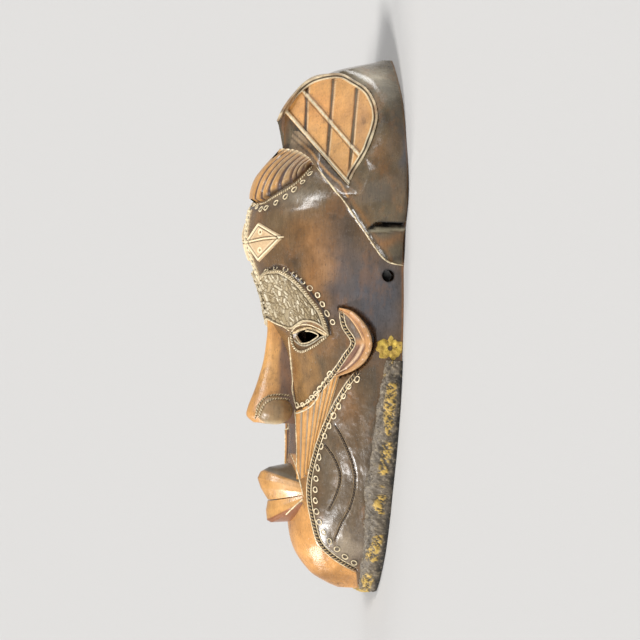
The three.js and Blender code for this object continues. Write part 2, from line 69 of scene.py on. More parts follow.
# Half-width of the rim at each height above the chin, and how far the middle of the face stands out there.
RIM_WIDTHS = [
    (4, 12), (7, 16), (14, 25), (31, 40), (46, 48), (60, 54), (74, 58.5), (91, 65), (106, 70),
    (140, 78), (182, 81), (210, 79), (233, 75), (252, 75.5), (265, 78), (281, 83), (302, 80),
    (323, 70), (341, 58), (353, 48), (368, 30), (377, 16), (380.6, 8),
]
FACE_DEPTHS = [
    (4, 25), (7, 33), (14, 45), (31, 57.5), (50, 62), (75, 63), (110, 62.5), (140, 64.5), (165, 68),
    (180, 73.5), (192, 80), (210, 85), (233, 94), (249, 99.5), (260, 99), (270, 97.5), (276, 93.5),
    (283, 91.5), (290, 89), (296, 85), (302, 80.5), (308, 76), (314, 73), (333, 73), (343, 71),
    (352, 67), (361, 59), (366, 50), (370, 37), (374, 25), (378, 12), (380.6, 6),
]
HOLLOW_ENDS = (15.0, 366.0)

# Crown
PANEL = {"u": 40, "v": 330, "height": 44.4, "slope_u": -0.683, "slope_v": -0.5, "recess": 1.6}
LOBE_THICKNESS = 72
LOBE_OVERLAP = 0.5
LOBE_EDGE = [
    (79.2, 334.5), (76.2, 342.2), (70, 352.2), (62.7, 360.5), (54.2, 366.3), (44.5, 369.3), (33.6, 369.7),
    (23.6, 364.6), (15.8, 359.4), (10.1, 350.9), (7.6, 341.2), (8.4, 332.4), (12.3, 319.3), (17.4, 308.2),
    (22.6, 299.4), (26.6, 289.5),
]
CHORD = [(79.2, 334.5), (73.3, 340.6), (26.6, 289.5)]
CROSS_BAR = [(61.7, 357.4), (16.8, 308.4)]
PANEL_GROOVES = [[(58.2, 360), (58.5, 324)], [(39.6, 367), (42.4, 307)], [(22.6, 363), (26.8, 291)]]
UNDERSIDE_START = (73.8, 313.5)
UNDERSIDE_END = (27, 286.5)
# Edge over the forehead that is painted orange: pale worn wood with a painted highlight along the ridge.
WORN_AND_LIT_EDGE = [(68, 325), (61.2, 319), (53.9, 312.9), (47.2, 304.6), (38.4, 295.6), (31.8, 290.2), (27, 282)]
HAIRLINE = [(49.2, 301.7), (35.9, 285.8), (28.5, 277.5), (14.4, 258.1), (-0.6, 238.6), (-14, 234.5)]
SLIT_TOP = [(15, 256.8), (6, 264.4), (-0.5, 265.2), (-24, 264.7)]
SLIT_FOOT = [(15, 256.6), (8.6, 256.6), (-2.7, 257.6), (-24, 259.6)]
SLIT_DEPTH = 7.5

# Forehead
FORELOCK_TOP = [(73.5, 313.5), (66, 313), (59, 310.6), (53.4, 306.6), (51.4, 303.7)]
FORELOCK_FOOT = [
    (97.6, 273), (92.4, 276), (86.7, 277.5), (79.1, 282), (66.5, 290.2), (61, 295), (53.4, 303.4),
]
FORELOCK_ROPE = [
    (95.3, 274.7), (91, 274.8), (86, 275.4), (79.1, 279.8), (72.1, 284), (66.5, 287.8), (60.4, 293),
    (52.6, 302.4),
]
FLUTES = 10
BAND = {"top": 271, "foot": 216, "half_width": 4.5, "raise": 1.6, "tooth": 5.2, "notch": 3.1}
DIAMOND = [(98.4, 247.5), (89.1, 262), (71, 251.9), (88.1, 233.6)]
DIAMOND_DOTS = [(86.7, 254.8), (86.7, 242.6)]

# Eyes
BROW_TOP = [
    (91, 214), (85.7, 225.9), (76.6, 228.3), (69.4, 227.1), (58.5, 219), (48.9, 207.9), (42.2, 198.9),
    (36.7, 184),
]
BROW_FOOT = [
    (82, 194), (75, 190.5), (68.1, 187.9), (62, 187.2), (54, 192), (46, 191), (40, 187), (36.7, 183.5),
]
BROW_LINE = [
    (88.5, 214.5), (85, 224), (77, 230.3), (68.8, 229.2), (57.4, 221), (47.6, 209.4), (40.6, 199.6),
    (35.6, 184.5),
]
BROW_BEADS = [
    (89.4, 214), (84.6, 224.4), (76.6, 227.2), (69.6, 226), (59, 218), (49.8, 207.2), (43, 198.4),
    (38, 187),
]
UPPER_LID = [(63.7, 184.7), (59.7, 189.3), (51.9, 190.6), (43.3, 187.6), (36.7, 183.5)]
LOWER_LID = [(63.7, 184.7), (61.3, 174.8), (55.5, 170.8), (46.4, 175.3), (36.7, 183.5)]
LID_BAND = [(62.6, 183.6), (57.6, 186.6), (51.8, 188), (46, 186.8), (40, 184.2), (36.9, 183.2)]
LID_FOOT = [(61.4, 179.4), (57, 176.2), (52.4, 175.6), (47.4, 178), (42, 181.8), (37.2, 183)]
EYE_OPENING = [
    (59.6, 182), (56.4, 184.6), (52, 185.4), (48.2, 184.7), (45.2, 182.7), (48.8, 179.6), (52.4, 177.8),
    (56.6, 177.8),
]

# Nose and mouth
NOSE_RIDGE = [
    (119.5, 90), (124, 95), (130, 94.4), (136, 92.4), (143, 89.8), (151, 87.4), (163, 84.4), (172, 83.2),
    (184, 82.2), (194, 82.5),
]
NOSE_WIDTHS = [
    (119.5, 16), (124, 17), (130, 17), (136, 16), (143, 14.5), (151, 13), (163, 11.5), (172, 10.5),
    (184, 9.5), (194, 9),
]
NOSE_SECTION = [
    (-1, 0), (-1, 0.25), (-0.78, 0.68), (-0.42, 0.93), (0, 1), (0.42, 0.93), (0.78, 0.68), (1, 0.25),
    (1, 0),
]
NOSE_BACK = 56
WING = {"x": 13, "v": 128.5, "z": 77.5, "radii": (10, 10, 13.5)}
MOUTH_HALF_WIDTH = 27
UPPER_LIP = {
    "middle": [(58, 92.5), (77.5, 88.2), (83.5, 84.6), (85.6, 80), (83, 73), (77.6, 64.8), (58, 65.5)],
    "corner": [(46, 77), (52.5, 76.4), (56, 75.2), (57.5, 73.4), (57, 71.2), (56, 69.6), (46, 70)],
}
LOWER_LIP = {
    "middle": [(58, 64), (77.6, 64), (78.6, 57), (77.6, 50), (75, 48.6), (62, 49.6), (58, 54)],
    "corner": [(46, 69.2), (56, 69), (57, 67.5), (56.6, 65.6), (55.5, 64.6), (52, 64), (46, 65)],
}

# Ears, cheeks and beard
EAR_BACK = [
    (29.5, 203), (20.9, 200.8), (13.7, 194.9), (8.4, 187.3), (6, 178.8), (7.2, 171.7), (11.2, 164.6),
    (19.5, 158.4), (31, 154),
]
EAR_FRONT = [
    (31.5, 200), (29, 195), (26.3, 190.2), (22.5, 184), (19.5, 179.1), (22, 173.6), (24.9, 168.9),
    (28, 163), (32, 157),
]
EAR_RISE = {"at": [0, 0.12, 0.3, 0.45, 0.62, 0.8, 0.93, 1], "rise": [1.2, 0.8, 1.2, 2.2, 4.2, 7.6, 8.8, 8.0]}
CHEEK_CORD = [
    (28.5, 200.5), (26.3, 190.2), (19.5, 179.1), (24.9, 168.9), (31.6, 158.1), (41.8, 144.2),
    (50, 135.4), (57.7, 131),
]
JAW_CORD = [
    (15.3, 158.6), (24.1, 146.2), (34.1, 126.7), (41.3, 107.3), (46.2, 85.8), (47.1, 69.5),
    (43.7, 51.8), (38.1, 35.7), (27.1, 25.4), (12, 17),
]
INNER_CRESCENT = [(36.9, 105.3), (30.2, 96.3), (25.6, 84.4), (27.3, 72.3), (32.6, 60)]
OUTER_CRESCENT = [
    (30.3, 119.7), (23.5, 107.9), (16.6, 91.8), (14.7, 77.6), (17.7, 61.9), (23.7, 48.9), (27.6, 38.1),
]
RIB_TOP = [(57.5, 128), (50, 132.5), (41.8, 141), (33.5, 152), (27, 160)]
RIB_FOOT = [(55.5, 80), (50.5, 82), (47, 90), (42.5, 107), (35.5, 126)]
RIBS = 7
BEARD = {"top": 167, "foot": 6.5, "outward": 5.6, "inward": 9, "rise": 17}
BEARD_SECTION = [(-1, 0), (-1, 0.6), (-0.3, 1), (0.6, 0.86), (0.95, 0.45), (0.8, 0)]
ROSETTE = {"v": 175.6, "z": 9.0, "radius": 10.2}
CORD_HOLE = {"x": 75, "v": 226.7, "z": 11.0, "radius": 4.3}

# Photograph
PIXELS = 640
PIXEL_SIZE = 0.71
PHOTO_TILT = math.radians(1.93)
VIEW_CENTRE = (43.5, 193.9)
VIEW_DISTANCE = 8.0
SENSOR = 36.0
NEAR_SIDE = 45.0


# Colours

def paint(red, green, blue):
    """Linear colour from the red, green and blue seen on a screen, 0 to 255."""
    seen = np.array([red, green, blue]) / 255
    return np.where(seen <= 0.04045, seen / 12.92, ((seen + 0.055) / 1.055) ** 2.4)


BROWN = paint(104, 78, 48)
OLIVE = paint(96, 84, 62)
AMBER = paint(134, 92, 48)
VIOLET = paint(90, 79, 74)
SLATE = paint(80, 79, 83)
SHADE = paint(58, 50, 38)
GREY_BROWN = paint(92, 80, 62)
# Grey of the dark polished wood where it catches the light: a painted sheen.
SILVER_SHEEN = paint(128, 121, 106)
ORANGE = paint(200, 148, 84)
DEEP_ORANGE = paint(164, 110, 56)
CREAM = paint(236, 216, 176)
UMBER = paint(44, 34, 26)
BLACK = paint(18, 15, 12)
MAUVE = paint(88, 68, 62)
PAD = paint(150, 134, 104)
CLAY = paint(108, 97, 82)
OCHRE = paint(184, 150, 70)
RAW = paint(96, 70, 46)


# Shape of the face

def along(pairs, height):
    """Smooth value at each height between the listed (height, value) pairs."""
    xs, ys = np.array(pairs, float).T
    h = np.clip(np.asarray(height, float), xs[0], xs[-1])
    i = np.clip(np.searchsorted(xs, h, side="right") - 1, 0, len(xs) - 2)
    slopes = np.empty_like(ys)
    slopes[1:-1] = (ys[2:] - ys[:-2]) / (xs[2:] - xs[:-2])
    slopes[0] = (ys[1] - ys[0]) / (xs[1] - xs[0])
    slopes[-1] = (ys[-1] - ys[-2]) / (xs[-1] - xs[-2])
    span = xs[i + 1] - xs[i]
    t = (h - xs[i]) / span
    ease = t * t * (3 - 2 * t)
    bend = t * (1 - t) * span * (slopes[i] * (1 - t) - slopes[i + 1] * t)
    return ys[i] * (1 - ease) + ys[i + 1] * ease + bend


def arch_point(v, width, depth, angle):
    """(x, z) on the cross-section at height v, at an angle that runs from the left rim over the top."""
    c, s = np.cos(angle), np.maximum(np.sin(angle), 0)
    power = 2 / along(SQUARENESS, v)
    return np.sign(c) * width * np.abs(c) ** power, depth * s**power


def on_face(u, v):
    """Points (mm) of the left half of the plain face under the drawing's points (u, v)."""
    u, v = np.broadcast_arrays(np.asarray(u, float), np.asarray(v, float))
    width, depth = along(RIM_WIDTHS, v), along(FACE_DEPTHS, v)
    low, high = np.zeros_like(u), np.full_like(u, math.pi / 2)
    for _ in range(26):
        angle = (low + high) / 2
        x, z = arch_point(v, width, depth, angle)
        before = z * COS - x * SIN < u
        low, high = np.where(before, angle, low), np.where(before, high, angle)
    x, z = arch_point(v, width, depth, low)
    return np.stack([x, v - MID_HEIGHT, z], -1)


def unit(vectors):
    """The same vectors with length 1."""
    return vectors / np.maximum(np.linalg.norm(vectors, axis=-1, keepdims=True), 1e-9)


def normals_at(u, v, step=1.5):
    """Outward normals of the plain face under the drawing's points."""
    u, v = np.broadcast_arrays(np.asarray(u, float), np.asarray(v, float))
    here = on_face(u, v)
    normal = unit(np.cross(here - on_face(u, v - step), here - on_face(u - step, v)))
    return np.where((normal[..., 0] + normal[..., 2] < 0)[..., None], -normal, normal)


def above(u, v, rise):
    """Points that stand off the plain face by rise."""
    return on_face(u, v) + normals_at(u, v) * np.broadcast_to(rise, np.shape(u))[..., None]


def from_drawing(u, v, height):
    """Points at (u, v) of the drawing, height away from the middle plane along the drawing's axis."""
    u, v, height = np.broadcast_arrays(np.asarray(u, float), np.asarray(v, float), np.asarray(height, float))
    return np.stack([height * COS - u * SIN, v - MID_HEIGHT, height * SIN + u * COS], -1)


def to_drawing(points):
    """(u, v) of points, with the right half folded onto the left."""
    return points[..., 2] * COS - np.abs(points[..., 0]) * SIN, points[..., 1] + MID_HEIGHT


def panel_height(u, v):
    """How far the sunk panel lies from the middle plane, along the drawing's axis."""
    return PANEL["height"] + PANEL["slope_u"] * (u - PANEL["u"]) + PANEL["slope_v"] * (v - PANEL["v"])


def spline(points, count):
    """Points of a smooth curve through the listed points."""
    p = np.array(points, float)
    t = np.linspace(0, len(p) - 1, count)
    i = np.clip(t.astype(int), 0, len(p) - 2)
    w = (t - i)[:, None]
    p0, p1, p2, p3 = p[np.maximum(i - 1, 0)], p[i], p[i + 1], p[np.minimum(i + 2, len(p) - 1)]
    v0, v1 = (p2 - p0) / 2, (p3 - p1) / 2
    return (2 * p1 - 2 * p2 + v0 + v1) * w**3 + (-3 * p1 + 3 * p2 - 2 * v0 - v1) * w**2 + v0 * w + p1


def evenly(line, count=None, spacing=None):
    """The same line with its points a fixed distance apart."""
    run = np.concatenate([[0], np.cumsum(np.linalg.norm(np.diff(line, axis=0), axis=1))])
    if count is None:
        count = max(round(run[-1] / spacing) + 1, 3)
    at = np.linspace(0, run[-1], count)
    return np.stack([np.interp(at, run, line[:, k]) for k in range(line.shape[1])], -1)


def smooth(low, high, value):
    """0 below low, 1 above high, with an even ease between them."""
    t = np.clip((value - low) / (high - low), 0, 1)
    return t * t * (3 - 2 * t)


def bump(value, middle, reach):
    """1 at the middle, falling smoothly to 0 at the reach."""
    return 1 - smooth(0, 1, np.abs(value - middle) / reach)


def gap_to(u, v, line):
    """Distance (mm) from drawing points to a line of points."""
    line = np.array(line, float)
    best = np.full(np.shape(u), 1e9)
    for a, b in zip(line[:-1], line[1:]):
        d = b - a
        t = np.clip(((u - a[0]) * d[0] + (v - a[1]) * d[1]) / max(d @ d, 1e-9), 0, 1)
        best = np.minimum(best, np.hypot(u - a[0] - t * d[0], v - a[1] - t * d[1]))
    return best


def inside(u, v, outline):
    """Signed distance (mm) to a closed outline of the drawing, positive inside."""
    p = np.array(outline, float)
    odd = np.zeros(np.shape(u), bool)
    for a, b in zip(p, np.roll(p, -1, axis=0)):
        if a[1] != b[1]:
            crosses = (a[1] > v) != (b[1] > v)
            odd ^= crosses & (u < a[0] + (v - a[1]) * (b[0] - a[0]) / (b[1] - a[1]))
    gap = gap_to(u, v, np.concatenate([p, p[:1]]))
    return np.where(odd, gap, -gap)


def rough(a, b, size, seed):
    """Smooth uneven field from -1 to 1 with lumps of about the given size."""
    lattice = np.random.default_rng(seed).uniform(-1, 1, (128, 128))
    a, b = np.broadcast_arrays(np.asarray(a, float) / size + 1000, np.asarray(b, float) / size + 1000)
    i, j = a.astype(int), b.astype(int)
    f, g = smooth(0, 1, a - i), smooth(0, 1, b - j)
    low = lattice[i % 128, j % 128] * (1 - f) + lattice[(i + 1) % 128, j % 128] * f
    high = lattice[i % 128, (j + 1) % 128] * (1 - f) + lattice[(i + 1) % 128, (j + 1) % 128] * f
    return low * (1 - g) + high * g


def closed(*runs):
    """Closed outline from several smooth runs of points."""
    return np.concatenate([spline(run, 6 * len(run)) for run in runs])


HAIR_ZONE = closed(
    HAIRLINE, [(-30, 234.5), (-30, 395)], [(110, 395), (110, 335)],
    [(80, 320), (62, 311), (49.2, 301.7)])
JAW_LINE = spline(JAW_CORD, 50)
CHIN_ZONE = np.concatenate([JAW_LINE[4:][::-1], [(44, 100), (50, 98), (110, 98), (110, -10), (8, -10)]])
JAW_PLANE = np.concatenate([JAW_LINE, [(5, 12), (3, 40), (4, 70), (1, 100), (1, 140), (3, 163)]])
EYE_ZONE = closed(UPPER_LID, LOWER_LID[::-1])
LOBE_ZONE = np.concatenate([spline(LOBE_EDGE, 60), CHORD[::-1]])
# Lines sunk in the face: the line, the width and depth (mm) of its groove and the width of its stain.
SUNK_LINES = (
    (CHEEK_CORD, 1.6, 0.7, 2.0), (JAW_CORD, 1.8, 0.8, 2.4), (INNER_CRESCENT, 1.0, 0.5, 1.4),
    (OUTER_CRESCENT, 1.0, 0.5, 1.4), (BROW_LINE, 1.6, 1.0, 2.2),
)
EYE_SINK = 2.4
EAR_GAP_SINK = 3.0
HAIR_STEP = 3.0


def slit_share(u, v):
    """0 outside the slit and at its foot, rising to 1 at its upper edge."""
    line = np.array(SLIT_FOOT)[::-1], np.array(SLIT_TOP)[::-1]
    foot, top = (np.interp(u, edge[:, 0], edge[:, 1]) for edge in line)
    share = (v - foot) / np.maximum(top - foot, 0.4)
    return np.where((share > 0) & (share < 1) & (u < SLIT_TOP[0][0]), share, 0)


def loop_places():
    """Places of the small loops in the drawing, one array for each row."""
    return [evenly(spline(points, 200), count=count) for points, count in LOOP_ROWS]


def relief(u, v):
    """Height (mm) of the low carving over the plain face."""
    hair = inside(u, v, HAIR_ZONE)
    rise = HAIR_STEP * smooth(-0.3, 1.6, hair) * (1 - smooth(290, 316, v))
    lobe = np.exp(-(((u + 1) / 13) ** 2 + ((v - 246) / 8) ** 2))
    rise += 2.4 * lobe * smooth(-0.2, 2.0, hair)
    rise -= SLIT_DEPTH * slit_share(u, v) ** 0.8 * smooth(15, 4, u)
    for line, wide, deep, _ in SUNK_LINES:
        rise -= deep * (1 - smooth(wide * 0.4, wide, gap_to(u, v, spline(line, 40))))
    rise -= 1.0 * smooth(0, 12, inside(u, v, JAW_PLANE))
    rise -= EYE_SINK * smooth(-1.5, 2.5, inside(u, v, EYE_ZONE))
    rise -= EAR_GAP_SINK * ear_shadow(u, v)
    rise += 0.3 * rough(u, v, 17, 3) + 0.06 * rough(u, v, 6, 4)
    return rise


def ear_shadow(u, v):
    """1 in the deep gap behind the ear, falling to 0 a few millimetres away: it sinks the gap and places the
    painted shadow in it.
    """
    wide = 1.4 + 3.4 * np.exp(-(((v - 190) / 13) ** 2))
    return 1 - smooth(0.3, 1, gap_to(u, v, spline(EAR_BACK, 30)) / wide)


# Broad colours, each a soft spot: u, v, its reach in both directions, its colour and strength. Most are
# stains; the silver one and the pale ones at (64, 280) and (20, 32) are painted sheen, and the dark one at
# (60, 106) is painted shade.
STAIN_SPOTS = [
    (66, 284, 20, 10, SILVER_SHEEN, 0.35), (52, 282, 16, 14, OLIVE, 0.9), (76, 262, 12, 10, OLIVE, 0.6),
    (62, 250, 15, 14, BROWN, 0.9), (48, 240, 8, 26, AMBER, 0.8), (58, 262, 12, 8, AMBER, 0.45),
    (50, 206, 9, 14, AMBER, 0.75), (31, 226, 9, 40, VIOLET, 0.95), (10, 216, 18, 26, SLATE, 1.0),
    (-6, 212, 10, 22, SLATE, 1.0), (24, 262, 9, 22, SHADE, 0.6), (36, 258, 6, 16, SHADE, 0.6),
    (66, 236, 10, 8, SHADE, 0.5), (8, 196, 9, 18, SLATE, 0.9),
    (56, 152, 12, 28, paint(160, 120, 72), 0.95), (40, 164, 6, 22, GREY_BROWN, 0.7),
    (54, 150, 3, 18, SHADE, 0.45), (62, 156, 3, 16, AMBER, 0.6), (33, 182, 10, 12, BROWN, 0.8),
    (30, 172, 6, 6, GREY_BROWN, 0.6), (36, 176, 5, 10, AMBER, 0.4), (20, 118, 12, 30, BROWN, 0.5),
    (20, 134, 8, 14, AMBER, 0.5), (4, 110, 5, 50, SHADE, 0.6), (40, 72, 5, 34, BROWN, 0.6),
    (22, 62, 10, 26, paint(104, 88, 68), 0.8), (8, 30, 10, 16, VIOLET, 0.5),
    # The spot at (60, 106) is painted shade below the nose.
    (36, 96, 6, 20, GREY_BROWN, 0.6), (60, 106, 6, 24, paint(108, 78, 50), 0.9),
    # The spot at (20, 32) is a painted sheen on the lower jaw.
    (41, 237, 9, 20, paint(164, 122, 82), 0.7), (20, 32, 12, 12, paint(158, 142, 120), 0.85),
    # The spot at (64, 280), like the silver one at (66, 284), is a painted sheen on the forehead.
    (64, 280, 12, 8, paint(142, 130, 112), 0.6),
]
HAIR_SPOTS = [
    # The silver spot at (4, 362) is a painted highlight on the top of the crown.
    (-8, 376, 14, 8, SHADE, 0.9), (4, 362, 16, 8, SILVER_SHEEN, 0.9), (-12, 350, 8, 16, SHADE, 0.5),
    (2, 338, 9, 9, SHADE, 0.7), (-6, 322, 9, 12, BROWN, 0.7), (6, 312, 8, 10, AMBER, 0.5),
    (-2, 296, 14, 12, BROWN, 0.6), (8, 284, 16, 10, GREY_BROWN, 0.9), (-10, 280, 8, 16, BROWN, 0.5),
    (22, 286, 6, 8, AMBER, 0.5), (-2, 252, 14, 4.5, AMBER, 0.95), (-2, 244, 12, 5, OLIVE, 0.8),
    # The pale spot at (12, 368) is a painted highlight on the top of the crown.
    (-2, 238.5, 14, 2.5, UMBER, 0.8), (12, 368, 12, 6, paint(170, 160, 140), 0.9),
    (-13, 316, 3, 16, SLATE, 0.9), (14, 268, 5, 10, BROWN, 0.7),
]
CHIN_SPOTS = [(66, 40, 12, 16, ORANGE, 0.8), (52, 78, 4, 18, BROWN, 0.8), (40, 10, 40, 5, AMBER, 0.6)]
EAR_SPOTS = [(12, 170, 8, 12, paint(206, 156, 104), 0.8), (14, 192, 8, 8, AMBER, 0.5)]


def spotted(colour, u, v, spots):
    """A colour with soft spots of other colours in it: mostly stains, and in some lists painted sheen and
    shade.
    """
    out = np.broadcast_to(colour, np.shape(u) + (3,)).copy()
    wander_u = u + 2.6 * rough(u, v, 9, 21) + 1.3 * rough(u, v, 3.5, 22)
    wander_v = v + 4.0 * rough(u, v, 12, 23)
    for at_u, at_v, reach_u, reach_v, stain, strength in spots:
        weight = strength * np.exp(-(((wander_u - at_u) / reach_u) ** 2 + ((wander_v - at_v) / reach_v) ** 2))
        out += weight[..., None] * (stain - out)
    return out


def blend(first, second, share):
    """The first colour with the given share of the second one over it."""
    share = np.asarray(share, float)[..., None]
    return first * (1 - share) + second * share


def layered(colour, *coats):
    """A colour under a row of coats, each a colour and the share of it that covers what lies below; most
    coats are stains, and some are painted shadows, shade and highlights.
    """
    for stain, share in coats:
        colour = blend(colour, stain, share)
    return colour


def hair_coats(u, v, hair):
    """Coats of the hairline, the edge over the forehead, whose orange is partly worn wood and partly a
    painted highlight, and the facet below the crown.
    """
    ridge = gap_to(u, v, spline(HAIRLINE[:5], 40))
    strip = bump(ridge, 4.4 + 0.8 * rough(u, v, 8, 24), 2.4) * smooth(0, 0.8, hair) * (v < 300)
    worn, chord = gap_to(u, v, spline(WORN_AND_LIT_EDGE, 40)), gap_to(u, v, CHORD[1:])
    within = smooth(-0.3, 0.6, hair)
    facet = within * (1 - smooth(7, 12, worn)) * (1 - smooth(10, 16, chord)) * (v > 284)
    return [
        (SHADE, 0.85 * smooth(0, 0.8, hair) * (1 - smooth(1.8, 3.6, ridge))),
        (AMBER, 0.5 * strip),
        (blend(SHADE, paint(146, 124, 96), 0.5 + 0.5 * rough(u, v, 9, 25)), facet),
        (UMBER, 0.7 * bump(worn, 1.7, 1.0) * within),
        # Orange along the edge: pale worn wood with a painted highlight on the ridge.
        (ORANGE, 0.85 * bump(worn, 0, 1.3) * within * smooth(66, 50, u)),
    ]


def face_stain_and_light(points):
    """Colour of the carved face at each point: its stains, with painted light and shade in the slit, round
    the cord holes, behind the ears, along the rim and in sheen spots.
    """
    u, v = to_drawing(points)
    hair, cut = inside(u, v, HAIR_ZONE), slit_share(u, v)
    chin = spotted(paint(206, 148, 84), u, v, CHIN_SPOTS)
    radius = CORD_HOLE["radius"]
    hole = np.hypot(points[..., 1] + MID_HEIGHT - CORD_HOLE["v"], points[..., 2] - CORD_HOLE["z"])
    loops = np.concatenate(loop_places())
    nearest = np.min([np.hypot(u - at_u, v - at_v) for at_u, at_v in loops], axis=0)
    # Orange along the rim: pale worn wood with a painted highlight where the edge catches the light.
    worn_and_lit_rim = (1 - smooth(0.6, 1.8, points[..., 2])) * (v > 165) * (0.3 + 0.7 * smooth(250, 240, v))
    return layered(
        spotted(BROWN, u, v, STAIN_SPOTS),
        (spotted(GREY_BROWN, u, v, STAIN_SPOTS), 0.7 * smooth(-0.5, 0.5, inside(u, v, JAW_PLANE))),
        (spotted(OLIVE, u, v, HAIR_SPOTS), smooth(-0.2, 0.6, hair)),
        *hair_coats(u, v, hair),
        (chin, smooth(-0.4, 0.6, inside(u, v, CHIN_ZONE))),
        # In the slit the lower wall is painted pale, a painted light, and the band under the overhanging
        # upper wall black, a painted shadow.
        (paint(176, 166, 140), smooth(0, 0.12, cut)),
        (BLACK, smooth(0.34, 0.5, cut + 0.08 * rough(u, v, 4, 26))),
        # Black round each cord hole: painted shade in the hole.
        (BLACK, 0.9 * (1 - smooth(radius, radius + 1, hole))),
        (UMBER, 0.4 * smooth(-0.5, 2.0, inside(u, v, EYE_ZONE))),
        *((UMBER, 0.9 * bump(gap_to(u, v, spline(line, 40)), 0, dark)) for line, _, _, dark in SUNK_LINES),
        # Black in the gap behind the ear: a painted shadow.
        (BLACK, 0.95 * ear_shadow(u, v)),
        (UMBER, 0.6 * (1 - smooth(1.5, 3.6, nearest))),
        # Orange of the rim: wear with a painted highlight.
        (DEEP_ORANGE, 0.7 * worn_and_lit_rim),
    )


# Mesh making

def new_form():
    """Empty form that can hold a colour at each corner: stains, and in places painted light and shade."""
    bm = bmesh.new()
    bm.verts.layers.float_color.new(STAIN)
    return bm


def loft(bm, rings, colours):
    """Closed body through rings of points (mm), with a colour at each point."""
    rows, sides = rings.shape[:2]
    layer = bm.verts.layers.float_color[STAIN]
    grid = bmesh.ops.create_grid(bm, x_segments=sides, y_segments=rows - 1, size=1)["verts"]
    points = np.concatenate([rings, rings[:, :1]], axis=1).reshape(-1, 3) * MM
    colours = np.broadcast_to(colours, rings.shape)
    colours = np.concatenate([colours, colours[:, :1]], axis=1).reshape(-1, 3)
    for vert, point, colour in zip(grid, points.tolist(), colours.tolist()):
        vert.co = point
        vert[layer] = (*colour, 1)
    wide = sides + 1
    seam = {grid[row * wide + sides]: grid[row * wide] for row in range(rows)}
    ends = [*grid[:sides], *grid[(rows - 1) * wide:(rows - 1) * wide + sides]]
    bmesh.ops.weld_verts(bm, targetmap=seam)
    rim = {edge for vert in ends for edge in vert.link_edges if edge.is_boundary}
    bmesh.ops.holes_fill(bm, edges=list(rim), sides=0)


def patch(bm, top, bottom, colours):
    """Slab whose top is a grid of points and whose underside is a coarser one with the same rows."""
    rings = np.concatenate([top, bottom[:, ::-1]], axis=1)
    ends = np.linspace(1, 0, bottom.shape[1])[None, :, None]
    colours = np.broadcast_to(colours, top.shape)
    under = colours[:, :1] * (1 - ends) + colours[:, -1:] * ends
    loft(bm, rings, np.concatenate([colours, under], axis=1))


def past_middle(points, overlap=0.8):
    """Carries what reaches the middle of the face a little over it, so that both halves meet."""
    points[..., 0] = np.where(points[..., 0] < overlap, -overlap, points[..., 0])
    return points


def raised(bm, place, rise, colours, sink=3.0):
    """Patch of the left side that stands off the plain face over the drawing's points in place."""
    place, rise, colours = (np.swapaxes(values, 0, 1) for values in (place, rise, colours))
    u, v = place[..., 0], place[..., 1]
    coarse = np.linspace(0, place.shape[1] - 1, 8).astype(int)
    bottom = past_middle(above(u[:, coarse], v[:, coarse], -sink))
    patch(bm, past_middle(above(u, v, rise)), bottom, colours)


def between(first, second, rows, columns):
    """Grid of drawing points from one curve (row 0) to another, and the shares a (rows) and b (columns)."""
    a, b = np.meshgrid(np.linspace(0, 1, rows), np.linspace(0, 1, columns), indexing="ij")
    one, two = spline(first, columns)[None], spline(second, columns)[None]
    return one * (1 - a[..., None]) + two * a[..., None], a, b


def tube(bm, path, normals, radius, colour, sides=8):
    """Round bar along a path, thinner at both ends."""
    tangent = unit(np.gradient(path, axis=0))
    across = unit(np.cross(tangent, normals))
    up = np.cross(across, tangent)
    turn = np.linspace(0, 2 * math.pi, sides, endpoint=False)
    share = np.linspace(0, 1, len(path))
    radius = np.broadcast_to(radius, len(path)) * np.minimum(1, 0.3 + 12 * np.minimum(share, 1 - share))
    ring = across[:, None] * np.cos(turn)[None, :, None] + up[:, None] * np.sin(turn)[None, :, None]
    colours = np.broadcast_to(np.broadcast_to(colour, (len(path), 3))[:, None], (len(path), sides, 3))
    loft(bm, path[:, None] + ring * radius[:, None, None], colours)


def twisted(bm, path, normals, radius, pitch, colours):
    """Cord of strands that wind round a path."""
    tangent = unit(np.gradient(path, axis=0))
    across = unit(np.cross(tangent, normals))
    up = np.cross(across, tangent)
    run = np.concatenate([[0], np.cumsum(np.linalg.norm(np.diff(path, axis=0), axis=1))])
    for strand, colour in enumerate(colours):
        turn = 2 * math.pi * (run / pitch + strand / len(colours))
        offset = across * np.cos(turn)[:, None] + up * np.sin(turn)[:, None]
        size = np.broadcast_to(radius, len(path)) * 0.55
        tube(bm, path + offset * size[:, None], normals, size, colour, sides=6)


def cut_out(bm, cutters, colour=BLACK):
    """The form with other closed forms cut out of it, and the new corners in one colour."""
    bodies = []
    for form in (bm, *cutters):
        bmesh.ops.recalc_face_normals(form, faces=form.faces)
        mesh = bpy.data.meshes.new("form")
        form.to_mesh(mesh)
        form.free()
        bodies.append(bpy.data.objects.new("form", mesh))
        bpy.context.scene.collection.objects.link(bodies[-1])
    whole = bodies[0]
    bpy.context.view_layer.objects.active = whole
    for body in bodies[1:]:
        cut = whole.modifiers.new("cut", "BOOLEAN")
        cut.operation = "DIFFERENCE"
        cut.solver = "MANIFOLD"
        cut.object = body
        bpy.ops.object.modifier_apply(modifier=cut.name)
    left = bmesh.new()
    left.from_mesh(whole.data)
    layer = left.verts.layers.float_color[STAIN]
    for vert in left.verts:
        if min(vert[layer][:3]) > UNSTAINED:
            vert[layer] = (*colour, 1)
    for body in bodies:
        bpy.data.meshes.remove(body.data)
    return left


